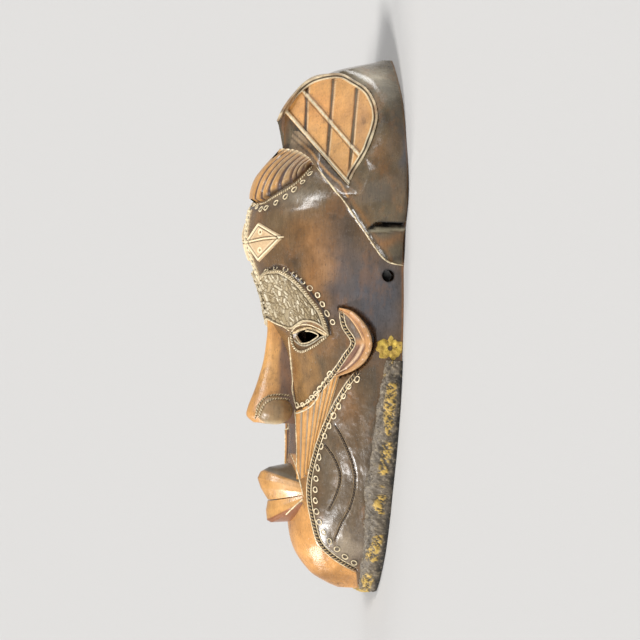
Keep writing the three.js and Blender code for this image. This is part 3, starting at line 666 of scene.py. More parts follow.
def finished(bm, name, material, sides=True, sharp=40, replaces=False):
    """Makes the form a piece of the mask: mirrored, closed, outward, on its body and in its slot."""
    if sides:
        whole = bm.verts[:] + bm.edges[:] + bm.faces[:]
        bmesh.ops.mirror(bm, geom=whole, matrix=Matrix.Identity(4), merge_dist=0, axis="X")
    bmesh.ops.recalc_face_normals(bm, faces=bm.faces)
    mesh = bpy.data.meshes.new(name)
    bm.to_mesh(mesh)
    bm.free()
    piece = bpy.data.objects.new(name, mesh)
    bpy.context.scene.collection.objects.link(piece)
    mesh.materials.append(material)
    mesh.shade_smooth()
    mesh.set_sharp_from_angle(angle=math.radians(sharp))
    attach(piece, BODY)
    if replaces:
        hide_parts(NODE)
    return piece


def surface_of(*names):
    """Search trees of finished pieces, for laying lines on them."""
    trees = []
    for name in names:
        mesh = bpy.data.objects[name].data
        points = np.empty(len(mesh.vertices) * 3)
        mesh.vertices.foreach_get("co", points)
        polygons = [tuple(face.vertices) for face in mesh.polygons]
        trees.append(BVHTree.FromPolygons([Vector(p) for p in points.reshape(-1, 3)], polygons))
    return trees


def laid(trees, line, rise=0.0):
    """Drops drawing points onto the carving and gives their places (mm) and normals."""
    starts = from_drawing(line[:, 0], line[:, 1], 200.0) * MM
    places, normals = above(line[:, 0], line[:, 1], 0.0), normals_at(line[:, 0], line[:, 1])
    for k, start in enumerate(starts):
        hits = [tree.ray_cast(Vector(start), Vector(-TOWARDS_VIEWER)) for tree in trees]
        hits = [hit for hit in hits if hit[0] is not None and hit[0].x > -0.001]
        if hits:
            nearest = min(hits, key=lambda hit: hit[3])
            places[k], normals[k] = np.array(nearest[0]) / MM, np.array(nearest[1])
    weights = np.array([1, 2, 3, 2, 1]) / 9
    padded = np.pad(normals, ((2, 2), (0, 0)), mode="edge")
    normals = unit(np.stack([np.convolve(padded[:, k], weights, "valid") for k in range(3)], -1))
    return places + normals * rise, normals


# Materials

COAT_ROUGHNESS = 0.16


class Wire:
    """A shader value that Python's operators work on."""

    def __init__(self, finish, socket):
        self.finish, self.socket = finish, socket

    def math(self, operation, first, second):
        made = self.finish.node("ShaderNodeMath", {"operation": operation}, {0: first, 1: second})
        return Wire(self.finish, made.outputs[0])

    def __add__(self, other):
        return self.math("ADD", self, other)

    __radd__ = __add__

    def __sub__(self, other):
        return self.math("SUBTRACT", self, other)

    def __rsub__(self, other):
        return self.math("SUBTRACT", other, self)

    def __mul__(self, other):
        return self.math("MULTIPLY", self, other)

    __rmul__ = __mul__


class Finish:
    """One procedural material in the making."""

    def __init__(self, name):
        self.material = bpy.data.materials.new(name)
        self.material.use_nodes = True
        self.tree = self.material.node_tree
        self.shader = next(n for n in self.tree.nodes if n.type == "BSDF_PRINCIPLED")
        self.place = self.node("ShaderNodeTexCoord").outputs["Object"]

    def node(self, kind, settings=None, sockets=None):
        """Adds a node: its settings first, then the values or links of its sockets."""
        made = self.tree.nodes.new(kind)
        for key, value in (settings or {}).items():
            setattr(made, key, value)
        self.feed(made, sockets or {})
        return made

    def feed(self, node, sockets):
        """Links or sets the named sockets of a node."""
        for key, value in sockets.items():
            if isinstance(value, Wire):
                value = value.socket
            if isinstance(value, bpy.types.NodeSocket):
                self.tree.links.new(value, node.inputs[key])
            else:
                node.inputs[key].default_value = value

    def noise(self, scale, detail=2.0, roughness=0.55, stretch=(1, 1, 1)):
        """Noise of the given scale, in waves to the metre, as a value round 0.5."""
        moved = self.node("ShaderNodeMapping", {}, {"Vector": self.place, "Scale": stretch})
        sockets = {"Vector": moved.outputs[0], "Scale": scale, "Detail": detail, "Roughness": roughness}
        return Wire(self, self.node("ShaderNodeTexNoise", {}, sockets).outputs["Fac"])

    def step(self, value, low, high):
        """0 below low, 1 above high, smooth between them."""
        settings = {"interpolation_type": "SMOOTHSTEP"}
        made = self.node("ShaderNodeMapRange", settings, {"Value": value, "From Min": low, "From Max": high})
        return Wire(self, made.outputs["Result"])

    def stain(self):
        """Colour that the form holds at its corners."""
        return self.node("ShaderNodeAttribute", {"attribute_name": STAIN}).outputs["Color"]

    def scaled(self, colour, amount):
        """Colour made lighter or darker by a varying amount."""
        made = self.node("ShaderNodeVectorMath", {"operation": "SCALE"}, {0: colour, "Scale": amount})
        return made.outputs["Vector"]

    def mixed(self, share, first, second):
        """The first colour with the given share of the second one over it."""
        made = self.node("ShaderNodeMix", {"data_type": "RGBA"}, {0: share, 6: first, 7: second})
        return made.outputs[2]

    def done(self, colour, roughness, height, depth, coat=0.0):
        """Links the varying parts and sets the even ones."""
        grain = self.node("ShaderNodeBump", {}, {"Height": height, "Strength": 1.0, "Distance": depth})
        self.feed(self.shader, {"Base Color": colour, "Roughness": roughness, "Normal": grain.outputs[0]})
        self.shader.inputs["Coat Weight"].default_value = coat
        self.shader.inputs["Coat Roughness"].default_value = COAT_ROUGHNESS
        return self.material


def rgba(colour):
    """Colour with full opacity, as a shader takes it."""
    return (*[float(c) for c in colour], 1.0)


def polished_wood(name, gloss, streaks, coat):
    """Stained and waxed wood with its grain along the mask."""
    finish = Finish(name)
    fibre = finish.noise(1300, 3, 0.6, (1, 0.06, 1))
    streak = finish.noise(190, 5, 0.65, (1, 0.16, 1))
    mottle = finish.noise(60, 6, 0.7)
    pores = finish.step(finish.noise(1700, 1, 0.5, (1, 0.2, 1)), 0.64, 0.72)
    tooling = finish.noise(120, 2, 0.5, (1, 0.7, 1))
    tone = 0.1 + 1.15 * mottle + streaks * (streak - 0.5) + 0.45 * (fibre - 0.5)
    colour = finish.scaled(finish.stain(), tone + 0.25)
    warm = finish.step(finish.noise(48, 5, 0.72, (1, 0.45, 1)), 0.5, 0.66)
    colour = finish.mixed(warm * 0.3, colour, rgba(paint(142, 94, 46)))
    grime = finish.step(finish.noise(85, 5, 0.75, (1, 0.6, 1)), 0.56, 0.72)
    colour = finish.mixed(grime * 0.45, colour, rgba(paint(52, 42, 32)))
    colour = finish.mixed(pores * 0.45, colour, rgba(UMBER))
    roughness = gloss + 0.3 * (mottle - 0.5) + 0.12 * (fibre - 0.5) + 0.1 * grime
    height = fibre * 0.1 + tooling * 1.2 - pores * 0.1 + 0.5 * mottle
    return finish.done(colour, roughness, height, 0.0006, coat)


def scraped_edge(name):
    """Edges where the stain is cut through to pale wood."""
    finish = Finish(name)
    wear = finish.step(finish.noise(420, 3, 0.6), 0.36, 0.62)
    dirt = finish.noise(900, 2, 0.6)
    colour = finish.mixed(wear, finish.scaled(finish.stain(), 0.55), finish.stain())
    colour = finish.scaled(colour, 0.75 + 0.5 * dirt)
    return finish.done(colour, 0.42 + 0.2 * dirt, dirt, 0.0003)


def blackened_cord(name):
    """Carved cord with dark stain left in its hollows."""
    finish = Finish(name)
    dirt = finish.noise(1200, 2, 0.6)
    colour = finish.scaled(finish.stain(), 0.6 + 0.8 * dirt)
    return finish.done(colour, 0.5 + 0.2 * dirt, dirt, 0.0003)


def engraved_pad(name):
    """Pale rubbed wood with dirt in its cuts."""
    finish = Finish(name)
    dust = finish.noise(500, 4, 0.65)
    fine = finish.noise(1600, 2, 0.6)
    colour = finish.scaled(finish.stain(), 0.55 + 0.6 * dust + 0.3 * fine)
    return finish.done(colour, 0.46 + 0.2 * dust, dust + fine * 0.5, 0.0004)


def crusted_beard(name):
    """Rough grey crust with worn ochre paint on its strokes."""
    finish = Finish(name)
    grit = finish.noise(700, 3, 0.6)
    lumps = finish.noise(190, 3, 0.6)
    dust = finish.step(finish.noise(380, 4, 0.65), 0.5, 0.66)
    colour = finish.scaled(finish.stain(), 0.5 + 0.4 * grit + 0.7 * lumps)
    colour = finish.mixed(dust * 0.15, colour, rgba(CREAM))
    return finish.done(colour, 0.42 + 0.3 * grit, grit * 0.5 + lumps, 0.0008)


def ochre_paint(name):
    """Thick dry yellow paint."""
    finish = Finish(name)
    grit = finish.noise(700, 4, 0.7)
    lumps = finish.noise(220, 3, 0.6)
    chips = finish.step(finish.noise(330, 3, 0.6), 0.62, 0.7)
    colour = finish.scaled(finish.stain(), 0.5 + 0.6 * grit + 0.4 * lumps)
    colour = finish.mixed(chips * 0.7, colour, rgba(UMBER))
    return finish.done(colour, 0.55 + 0.2 * grit, grit + lumps, 0.0009)


def studio_floor(name, colour):
    """Plain pale matte board."""
    finish = Finish(name)
    weave = finish.noise(900, 2, 0.5)
    shade = finish.mixed(weave * 0.08, rgba(colour), rgba(colour * 0.8))
    return finish.done(shade, 0.85 + 0.05 * weave, weave, 0.0001)


# Settings that a user would change

class MaskSizes(bpy.types.PropertyGroup):
    """Sizes of the fine carving, in millimetres."""

    cord_radius: FloatProperty(
        name="Cord Radius", description="Radius of the twisted cords, in mm", default=1.0, min=0.5, max=3)
    cord_pitch: FloatProperty(
        name="Cord Pitch", description="Length of one turn of a cord, in mm", default=2.6, min=2, max=10)
    ridge_radius: FloatProperty(
        name="Ridge Radius", description="Radius of the thin scraped ridges, in mm",
        default=0.5, min=0.2, max=2)
    loop_radius: FloatProperty(
        name="Loop Radius", description="Radius of the small carved loops, in mm",
        default=2.2, min=0.5, max=4)
    face_rows: IntProperty(
        name="Face Rows", description="Cross-sections of the face from chin to crown",
        default=330, min=80, max=400)
    face_columns: IntProperty(
        name="Face Columns", description="Steps over each cross-section of the face",
        default=210, min=60, max=260)


class MaskColours(bpy.types.PropertyGroup):
    """Colours of the finish."""

    floor: FloatVectorProperty(
        name="Floor", description="Colour of the studio floor", subtype="COLOR",
        default=tuple(paint(180, 178, 175)))
    edge: FloatVectorProperty(
        name="Edge", description="Colour of the scraped edges", subtype="COLOR", default=tuple(CREAM))
    cord: FloatVectorProperty(
        name="Cord", description="Colour of the dark cords", subtype="COLOR", default=tuple(UMBER))


# Pieces

# Gouge marks of the inside: their size (mm) and the seed of their field.
GOUGES = ((7, 8), (14, 9))


def profile_heights(rows):
    """Heights of the cross-sections, evenly along the profile of the face."""
    v = np.linspace(RIM_WIDTHS[0][0], RIM_WIDTHS[-1][0], 4000)
    run = np.concatenate([[0], np.cumsum(np.hypot(np.diff(v), np.diff(along(FACE_DEPTHS, v))))])
    return np.interp(np.linspace(0, run[-1], rows), run, v)


def hollow_arches(v, columns, grow=0.0):
    """Cross-sections (mm) of the gouged inside at the heights v, from the right rim to the left one."""
    middle, half = sum(HOLLOW_ENDS) / 2, (HOLLOW_ENDS[1] - HOLLOW_ENDS[0]) / 2
    run = np.clip((v - middle) / half, -1, 1)
    fall = np.maximum(1 - np.abs(run) ** 7, 0) ** 0.5
    width = np.maximum(along(RIM_WIDTHS, v) - SIDE_WALL, 3.5) * np.maximum(fall, 0.3) + grow
    depth = np.maximum(along(FACE_DEPTHS, v) - FRONT_WALL, 6) * fall + grow
    x, z = arch_point(v, width, depth, np.linspace(math.pi, 0, columns)[None])
    return np.stack([x, np.broadcast_to(v - MID_HEIGHT, x.shape), z], -1)


def crown_stand(u, v, stand):
    """How far the crown stands from the middle plane, fitted round the sunk lattice panels."""
    level, lobe = panel_height(u, v), inside(u, v, LOBE_ZONE)
    away = np.maximum(-lobe, 0)
    start = np.array(CHORD[1])
    way = unit(np.array(CHORD[2]) - start)
    below = smooth(0, 2, way[0] * (v - start[1]) - way[1] * (u - start[0]))
    capped = np.minimum(stand, level - 0.4 + (0.35 + 0.65 * below) * away)
    near = (1 - below) * (1 - smooth(0, 24, away))
    lifted = capped + near * np.maximum(level - 0.8 - capped, 0)
    return np.where(lobe > 0.3, np.minimum(stand, level - 3.5), lifted)


def face_rings(rows, columns, inner):
    """Cross-sections of the hollow face: its carved outside, then its gouged inside."""
    v = profile_heights(rows)[:, None]
    width, depth = along(RIM_WIDTHS, v), along(FACE_DEPTHS, v)
    x, z = arch_point(v, width, depth, np.linspace(0, math.pi, columns)[None])
    outer = np.stack([x, np.broadcast_to(v - MID_HEIGHT, x.shape), z], -1)
    normal = unit(np.cross(np.gradient(outer, axis=0), np.gradient(outer, axis=1)))
    normal *= np.sign((normal * (outer - [0, 0, -20])).sum(-1, keepdims=True))
    outer = outer + normal * (relief(*to_drawing(outer)) * smooth(0.0, 3.0, outer[..., 2]))[..., None]
    u, height = to_drawing(outer)
    stand = np.abs(outer[..., 0]) * COS + outer[..., 2] * SIN
    push = (crown_stand(u, height, stand) - stand) * smooth(280, 288, height)
    outer[..., 0] += np.sign(outer[..., 0]) * push * COS
    outer[..., 2] = np.maximum(outer[..., 2] + push * SIN * (outer[..., 2] > 0.5), 0)
    under = hollow_arches(v, inner)
    gouged = sum(0.5 * rough(under[..., 0], under[..., 1], size, seed) for size, seed in GOUGES)
    under[..., 2] += gouged * smooth(1, 8, under[..., 2])
    return outer, under


# Cutters, in mm: how much larger the hollow is cut, how far its cutter reaches below the rim, how far
# that of an eye reaches out and in and how much it widens, and how long the drill is.
HOLLOW_GROWTH = 2.0
BELOW_RIM = 30
EYE_CUT = {"out": 6, "in": 24, "widening": 2.2}
DRILL_LENGTH = 50
BLOCK_HALF_WIDTH = 100
BLOCK_LENGTH = 600


def hollow_cutter():
    """The inside of the mask, a little larger, for what must not reach into it."""
    v = np.linspace(HOLLOW_ENDS[0] + 3, HOLLOW_ENDS[1] - 2, 60)[:, None]
    arches = hollow_arches(v, 32, HOLLOW_GROWTH)
    feet = arches[:, [-1, 0]] - [0, 0, BELOW_RIM]
    bm = new_form()
    loft(bm, np.concatenate([arches, feet], axis=1), RAW)
    return bm


def eye_cutter(side):
    """Tapered body that opens one eye into the hollow."""
    bm = new_form()
    outline = spline(EYE_OPENING + EYE_OPENING[:1], 37)[:-1]
    middle = outline.mean(0)
    centre, outwards = on_face(*middle), normals_at(*middle)
    flat = on_face(outline[:, 0], outline[:, 1]) - centre
    depths = np.linspace(EYE_CUT["out"], -EYE_CUT["in"], 9)
    spreads = 1 + EYE_CUT["widening"] * np.clip(-depths / EYE_CUT["in"], 0, 1)
    rings = np.array([flat * spread + centre + outwards * depth for depth, spread in zip(depths, spreads)])
    rings[..., 0] *= side
    # Umber, as painted shade on the walls of the eye opening.
    loft(bm, rings, UMBER)
    return bm


def hole_cutter(side):
    """Drill for one cord hole."""
    bm = new_form()
    layer = bm.verts.layers.float_color[STAIN]
    x, y, z = side * CORD_HOLE["x"] * MM, (CORD_HOLE["v"] - MID_HEIGHT) * MM, CORD_HOLE["z"] * MM
    radius = CORD_HOLE["radius"] * MM
    bmesh.ops.create_cone(
        bm, cap_ends=True, segments=40, radius1=radius, radius2=radius, depth=DRILL_LENGTH * MM,
        matrix=Matrix.Translation((x, y, z)) @ Matrix.Rotation(math.pi / 2, 4, "Y"),
    )
    # Black, as painted shade on the wall of the hole.
    for vert in bm.verts:
        vert[layer] = (*BLACK, 1)
    return bm


class MASK_OT_face(bpy.types.Operator):
    """Carve the hollow body of the mask with its low relief"""

    bl_idname = "mask.face"
    bl_label = "Face"

    def execute(self, context):
        sizes = context.scene.mask_sizes
        outer, under = face_rings(sizes.face_rows, sizes.face_columns, 44)
        bm = new_form()
        colours = np.concatenate([face_stain_and_light(outer), np.broadcast_to(RAW, under.shape)], axis=1)
        loft(bm, np.concatenate([outer, under], axis=1), colours)
        # The walls that the cutters open are painted dark: painted shade inside the eye openings and cord
        # holes.
        bm = cut_out(bm, [eye_cutter(1), eye_cutter(-1), hole_cutter(1), hole_cutter(-1)])
        finished(bm, "carved_face", polished_wood("stained_wood_with_painted_light", 0.26, 0.7, 0.3), sides=False, replaces=True)
        return {"FINISHED"}


# Rings of a crown lobe, as shares of the way from its foot to its edge.
LOBE_STEPS = (0, 0.3, 0.6, 0.8, 0.9, 0.95, 0.985, 1.0)
UNDERSIDE_SPOTS = [(60, 320, 30, 6, OLIVE, 0.5), (74, 328, 3, 14, DEEP_ORANGE, 0.4)]
PANEL_SPOTS = [(20, 335, 7, 22, paint(166, 122, 76), 0.8), (50, 345, 20, 14, paint(206, 140, 74), 0.6)]
PANEL_ROWS, PANEL_COLUMNS = 170, 110


def lobe_rings():
    """Rings of one crown lobe, from its foot in the face to the edge round its panel."""
    arc = evenly(spline(LOBE_EDGE, 200), count=90)
    corner = np.array(CHORD[1], float)
    first, last = arc[0], arc[-1]
    chord = np.concatenate([np.linspace(last, corner, 34)[1:], np.linspace(corner, first, 7)[1:-1]])
    top = np.concatenate([arc, chord])
    head = from_drawing(top[:, 0], top[:, 1], panel_height(top[:, 0], top[:, 1]))
    foot_arc = from_drawing(arc[:, 0], arc[:, 1], np.minimum(0, panel_height(arc[:, 0], arc[:, 1])))
    share = np.clip(np.linalg.norm(chord - last, axis=1) / np.linalg.norm(corner - last), 0, 1)[:, None]
    line = np.array(UNDERSIDE_END) * (1 - share) + np.array(UNDERSIDE_START) * share
    middle = (line[:, 0] * SIN - LOBE_OVERLAP) / COS
    level = LOBE_THICKNESS * (1 - share[:, 0]) + middle * share[:, 0]
    foot = np.concatenate([foot_arc, from_drawing(line[:, 0], line[:, 1], level)])
    rings = [foot * (1 - t) + head * t for t in LOBE_STEPS]
    inset = top + (top.mean(0) - top) * 0.02
    rings.append(from_drawing(inset[:, 0], inset[:, 1], panel_height(inset[:, 0], inset[:, 1]) - 2.5))
    return np.array(rings)


def far_side():
    """Block that takes off what a left crown lobe has beyond the middle of the mask."""
    bm = new_form()
    size = Matrix.Diagonal((2 * BLOCK_HALF_WIDTH * MM, BLOCK_LENGTH * MM, BLOCK_LENGTH * MM, 1))
    place = Matrix.Translation((-(LOBE_OVERLAP + BLOCK_HALF_WIDTH) * MM, 0, 0)) @ size
    bmesh.ops.create_cube(bm, size=1, matrix=place)
    return bm


def lattice_relief(u, v):
    """Height and colour of the lattice panel: rim, chord ridge, slanted bar and three grooves."""
    recess = PANEL["recess"]
    edge = gap_to(u, v, spline(LOBE_EDGE, 90)) + 0.25 * rough(u, v, 7, 32)
    rise = -recess * smooth(3.4, 4.2, edge)
    rise += 0.6 * bump(edge, 0.9, 0.9) - 1.0 * bump(edge, 2.1, 0.8) + 0.5 * bump(edge, 3.2, 0.7)
    # Rounded rim of the panel: amber wood with a silver painted sheen.
    polish_and_sheen = blend(SILVER_SHEEN, AMBER, 0.5 + 0.5 * rough(u, v, 12, 35))
    colour = layered(
        blend(CREAM, polish_and_sheen, 0.55 + 0.45 * rough(u, v, 5, 31)),
        (spotted(ORANGE, u, v, PANEL_SPOTS), smooth(3.6, 4.2, edge)),
        (UMBER, 0.95 * bump(edge, 2.1, 0.9)),
        (CREAM, bump(edge, 3.3, 0.9) * (0.55 + 0.45 * rough(u, v, 9, 36))),
    )
    field = smooth(3.4, 4.6, edge)
    for groove in PANEL_GROOVES:
        gap = gap_to(u, v, groove) + 0.3 * rough(u, v, 6, 33)
        rise -= 1.4 * bump(gap, 0, 1.6) * field
        # Each groove is painted dark, a painted shade, with cream only on the wall that faces the light, a
        # painted light.
        bright = u < np.interp(v, *np.array(groove)[::-1, ::-1].T)
        colour = layered(
            colour,
            (paint(104, 74, 60), 0.95 * bump(gap, 0.2, 1.9) * field),
            (CREAM, 0.6 * bump(gap, 1.5, 0.6) * field * bright),
        )
    bar = gap_to(u, v, CROSS_BAR) + 0.2 * rough(u, v, 4, 34)
    lift = bump(bar, 0, 2.0)
    rise += (recess + 0.3) * smooth(0, 0.7, lift) * smooth(2.5, 4.5, edge)
    chord = gap_to(u, v, CHORD[1:])
    rise = rise * smooth(1.6, 3.2, chord) + 0.6 * bump(chord, 1.0, 1.6) - 0.5 * bump(chord, 3.0, 0.6)
    return rise, layered(
        colour,
        (UMBER, 0.7 * bump(bar, 1.8, 0.7) * field),
        (blend(CREAM, SILVER_SHEEN, 0.3), smooth(0.3, 0.75, lift) * field),
        (UMBER, 0.7 * bump(chord, 3.3, 0.7)),
        (blend(CREAM, SILVER_SHEEN, 0.25), smooth(0.2, 0.6, bump(chord, 1.4, 2.0))),
        (SHADE, 0.8 * bump(chord, 1.0, 0.5) * smooth(60, 40, u)),
    )


class MASK_OT_crown(bpy.types.Operator):
    """Carve the two lobes of the crown with their sunk lattice panels"""

    bl_idname = "mask.crown"
    bl_label = "Crown"

    def execute(self, context):
        bm = new_form()
        rings = lobe_rings()
        u, v = to_drawing(rings)
        underside = [CHORD[1], CHORD[2], UNDERSIDE_END, UNDERSIDE_START, CHORD[1]]
        facet = 1 - smooth(2, 5, gap_to(u, v, underside))
        under = spotted(SHADE, u, v, UNDERSIDE_SPOTS)
        loft(bm, rings, blend(spotted(OLIVE, u, v, HAIR_SPOTS), under, facet))
        bm = cut_out(bm, [hollow_cutter(), far_side()], OLIVE)
        finished(bm, "crown_lobes", polished_wood("crown_wood", 0.28, 0.6, 0.4))
        bm = new_form()
        arc = evenly(spline(LOBE_EDGE, 300), count=PANEL_ROWS)
        chord = evenly(np.array(CHORD, float), count=PANEL_ROWS)
        share = np.linspace(0, 1, PANEL_COLUMNS)[None, :, None]
        place = chord[:, None] * (1 - share) + arc[:, None] * share
        u, v = place[..., 0], place[..., 1]
        rise, colour = lattice_relief(u, v)
        low_u, low_v = (values[:, np.linspace(0, PANEL_COLUMNS - 1, 6).astype(int)] for values in (u, v))
        bottom = from_drawing(low_u, low_v, panel_height(low_u, low_v) - 4)
        patch(bm, from_drawing(u, v, panel_height(u, v) + rise), bottom, colour)
        finished(bm, "lattice_panels", polished_wood("bare_panel_wood", 0.46, 0.3, 0.05))
        return {"FINISHED"}


def ribbed(share, count, groove=0.22):
    """Height from 0 to 1 over a row of ribs, and the place from 0 to 1 within each rib."""
    phase = (share * count) % 1
    return smooth(0, groove, np.minimum(phase, 1 - phase)) * (0.75 + 0.25 * np.sin(math.pi * phase)), phase


class MASK_OT_forelock(bpy.types.Operator):
    """Carve the fluted lock of hair over the forehead"""

    bl_idname = "mask.forelock"
    bl_label = "Forelock"

    def execute(self, context):
        bm = new_form()
        place, a, b = between(FORELOCK_FOOT, FORELOCK_TOP, 60, 150)
        place[..., 0] += 6 * np.sin(math.pi * a) * (1 - b)
        u, v = place[..., 0], place[..., 1]
        height, phase = ribbed(b**0.9, FLUTES, 0.3)
        foot = (1 - smooth(0.0, 0.12, a)) * smooth(0.25, 0.5, b)
        rise = 5 * np.sin(math.pi * np.minimum(1, 0.2 + a * 0.6)) * (1 - 0.6 * b) + 1.9 * height - 1.5 * foot
        crest = spotted(ORANGE, u, v, [(60, 299, 13, 9, paint(146, 126, 98), 0.9)])
        colour = layered(
            MAUVE,
            (crest, smooth(0.35, 0.8, height)),
            # Cream on one slope of each flute near its crest: a painted highlight.
            (CREAM, bump(phase, 0.34, 0.16) * (0.3 + 0.5 * a) * smooth(0.1, 0.5, b)),
            (CREAM, 0.8 * bump(a, 1, 0.1)),
            # Umber under the foot of the forelock: a painted shadow in the undercut.
            (UMBER, 0.9 * foot),
        )
        raised(bm, place, rise, colour)
        finished(bm, "forelock", polished_wood("forelock_wood", 0.34, 0.3, 0.25))
        return {"FINISHED"}


class MASK_OT_ornament(bpy.types.Operator):
    """Carve the notched band and the diamond on the forehead"""

    bl_idname = "mask.ornament"
    bl_label = "Forehead Ornament"

    def execute(self, context):
        material = engraved_pad("ornament_wood")
        self.band(material)
        self.diamond(material)
        return {"FINISHED"}

    def band(self, material):
        """Notched band down the middle, with its zigzag."""
        bm = new_form()
        heights = np.linspace(BAND["foot"], BAND["top"], 220)
        v, across = np.meshgrid(heights, np.linspace(1, -1, 29), indexing="ij")
        side = np.abs(across)
        tooth = np.abs(((v / BAND["tooth"]) % 1) * 2 - 1)
        zigzag = bump(side, 0.25 + 0.5 * tooth, 0.2)
        notch = 1 - smooth(0.35, 0.9, np.abs(((v / BAND["notch"]) % 1) * 2 - 1))
        rise = BAND["raise"] - 0.8 * zigzag - 0.5 * notch * smooth(0.5, 0.9, side)
        rise = rise * (1 - smooth(0.92, 1.0, side)) + 0.3 * rough(v, across * 4, 1.6, 41)
        x = across * BAND["half_width"]
        top = np.stack([x, v - MID_HEIGHT, along(FACE_DEPTHS, v) - 0.02 * x**2 + rise], -1)
        colour = blend(CREAM, SHADE, np.clip(zigzag * 0.9 + 0.3 * notch, 0, 1))
        patch(bm, top, top[:, ::7] - [0, 0, 4], colour)
        finished(bm, "forehead_band", material, sides=False)

    def diamond(self, material):
        """Flat diamond with its middle line and two dots."""
        bm = new_form()
        inner, top_corner, outer, foot = np.array(DIAMOND)
        a, b = np.meshgrid(np.linspace(0, 1, 90), np.linspace(0, 1, 90), indexing="ij")
        a, b = a[..., None], b[..., None]
        place = (inner * (1 - a) + top_corner * a) * (1 - b) + (foot * (1 - a) + outer * a) * b
        u, v = place[..., 0], place[..., 1]
        edge = inside(u, v, DIAMOND)
        middle = gap_to(u, v, [DIAMOND[0], (84, 250.6), DIAMOND[2]])
        rise = 1.8 * smooth(0, 1.2, edge) - 0.8 * bump(edge, 2.3, 0.7) - 0.8 * bump(middle, 0.9, 0.6)
        colour = layered(
            paint(192, 162, 122),
            (CREAM, np.maximum(bump(edge, 1.4, 1.2), bump(middle, 0, 0.8))),
            (UMBER, 0.8 * np.maximum(bump(edge, 2.3, 0.6), bump(middle, 1.1, 0.5))),
            (paint(222, 200, 162), 0.5 * bump(edge, 3.3, 0.8)),
        )
        for dot_u, dot_v in DIAMOND_DOTS:
            gap = np.hypot((u - dot_u) / 0.7, v - dot_v)
            rise = rise - 1.5 * bump(gap, 0, 1.2)
            colour = layered(colour, (CREAM, bump(gap, 1.6, 0.8)), (BLACK, bump(gap, 0, 1.1)))
        raised(bm, place, rise, colour)
        finished(bm, "forehead_diamond", material)


# Cuts of the brow: how many, where, their slant in degrees (mean and spread), half their length and
# half their width, in mm.
BROW_CUT = {
    "count": 430, "u": (36, 92), "v": (184, 230), "slant": (64, 18), "reach": (0.9, 2.6),
    "wide": (0.45, 0.85),
}
BROW_CUT_TONES = (paint(168, 150, 116), paint(196, 182, 152), paint(150, 132, 98), paint(216, 204, 176))


def engraved(u, v, colour):
    """Depth and colour of short overlapping lens-shaped cuts that run down the brow."""
    rng = np.random.default_rng(12)
    depth = np.zeros(np.shape(u))
    for k in range(BROW_CUT["count"]):
        at = np.array([rng.uniform(*BROW_CUT["u"]), rng.uniform(*BROW_CUT["v"])])
        slant = math.radians(rng.normal(*BROW_CUT["slant"]))
        way = np.array([math.cos(slant), math.sin(slant)]) * rng.uniform(*BROW_CUT["reach"])
        wide = rng.uniform(*BROW_CUT["wide"])
        gap = gap_to(u, v, [at - way, at + way])
        cut = bump(gap, wide * 1.5, 0.45)
        depth = np.maximum(depth * (gap > wide), cut)
        tone = BROW_CUT_TONES[k % len(BROW_CUT_TONES)]
        floor = 0.8 * (1 - smooth(wide * 0.7, wide * 1.2, gap))
        colour = layered(colour, (paint(104, 84, 52), 0.75 * cut), (tone, floor))
    return depth, colour


class MASK_OT_brows(bpy.types.Operator):
    """Carve the engraved pads over the eyes"""

    bl_idname = "mask.brows"
    bl_label = "Brows"

    def execute(self, context):
        bm = new_form()
        place, _, _ = between(BROW_FOOT, BROW_TOP, 130, 210)
        u, v = place[..., 0], place[..., 1]
        edge = inside(u, v, closed(BROW_TOP, BROW_FOOT[::-1]))
        cuts, colour = engraved(u, v, np.broadcast_to(PAD, np.shape(u) + (3,)))
        cuts = cuts * smooth(1.5, 3, edge)
        rise = 2.3 * smooth(-0.5, 1.6, edge) - 0.7 * bump(edge, 2.4, 0.7)
        rise = rise - 0.6 * cuts + 0.2 * rough(u, v, 3, 13)
        colour = layered(
            colour,
            (blend(CREAM, PAD, 0.4), 0.8 * bump(edge, 1.0, 1.2)),
            (paint(70, 54, 36), 0.8 * bump(edge, 2.4, 0.6)),
        )
        raised(bm, place, rise, colour)
        finished(bm, "brow_pads", engraved_pad("brow_wood"))
        return {"FINISHED"}


class MASK_OT_nose(bpy.types.Operator):
    """Carve the nose and its wings"""

    bl_idname = "mask.nose"
    bl_label = "Nose"

    def execute(self, context):
        material = polished_wood("nose_wood", 0.4, 0.3, 0.15)
        v = np.linspace(NOSE_RIDGE[0][0], NOSE_RIDGE[-1][0], 110)[:, None]
        front, width = along(NOSE_RIDGE, v), along(NOSE_WIDTHS, v)
        section = spline(NOSE_SECTION, 61)
        x = section[None, :, 0] * width
        z = NOSE_BACK + (front - NOSE_BACK) * section[None, :, 1]
        rings = np.stack([x, np.broadcast_to(v - MID_HEIGHT, x.shape), z], -1)
        u, height = to_drawing(rings)
        spots = [(80, 132, 12, 12, DEEP_ORANGE, 0.6), (74, 185, 8, 10, DEEP_ORANGE, 0.5)]
        colour = spotted(ORANGE, u, height, spots)
        colour = blend(colour, MAUVE, 0.85 * (1 - smooth(69.5, 73, u + 0.8 * rough(u, height, 6, 51))))
        bm = new_form()
        loft(bm, rings, colour)
        finished(bm, "nose", material, sides=False, sharp=50)
        bm = new_form()
        layer = bm.verts.layers.float_color[STAIN]
        ball = bmesh.ops.create_uvsphere(bm, u_segments=64, v_segments=40, radius=1)["verts"]
        centre = np.array([WING["x"], WING["v"] - MID_HEIGHT, WING["z"]])
        for vert in ball:
            place = np.array(vert.co)
            # The lowest part of each wing turns towards cream: a painted highlight on its underside.
            pale = 0.5 * float(1 - smooth(-0.95, -0.6, place[1]))
            vert.co = (centre + place * WING["radii"]) * MM
            vert[layer] = (*blend(paint(148, 122, 86), CREAM, pale), 1)
        finished(bm, "nose_wings", material)
        return {"FINISHED"}


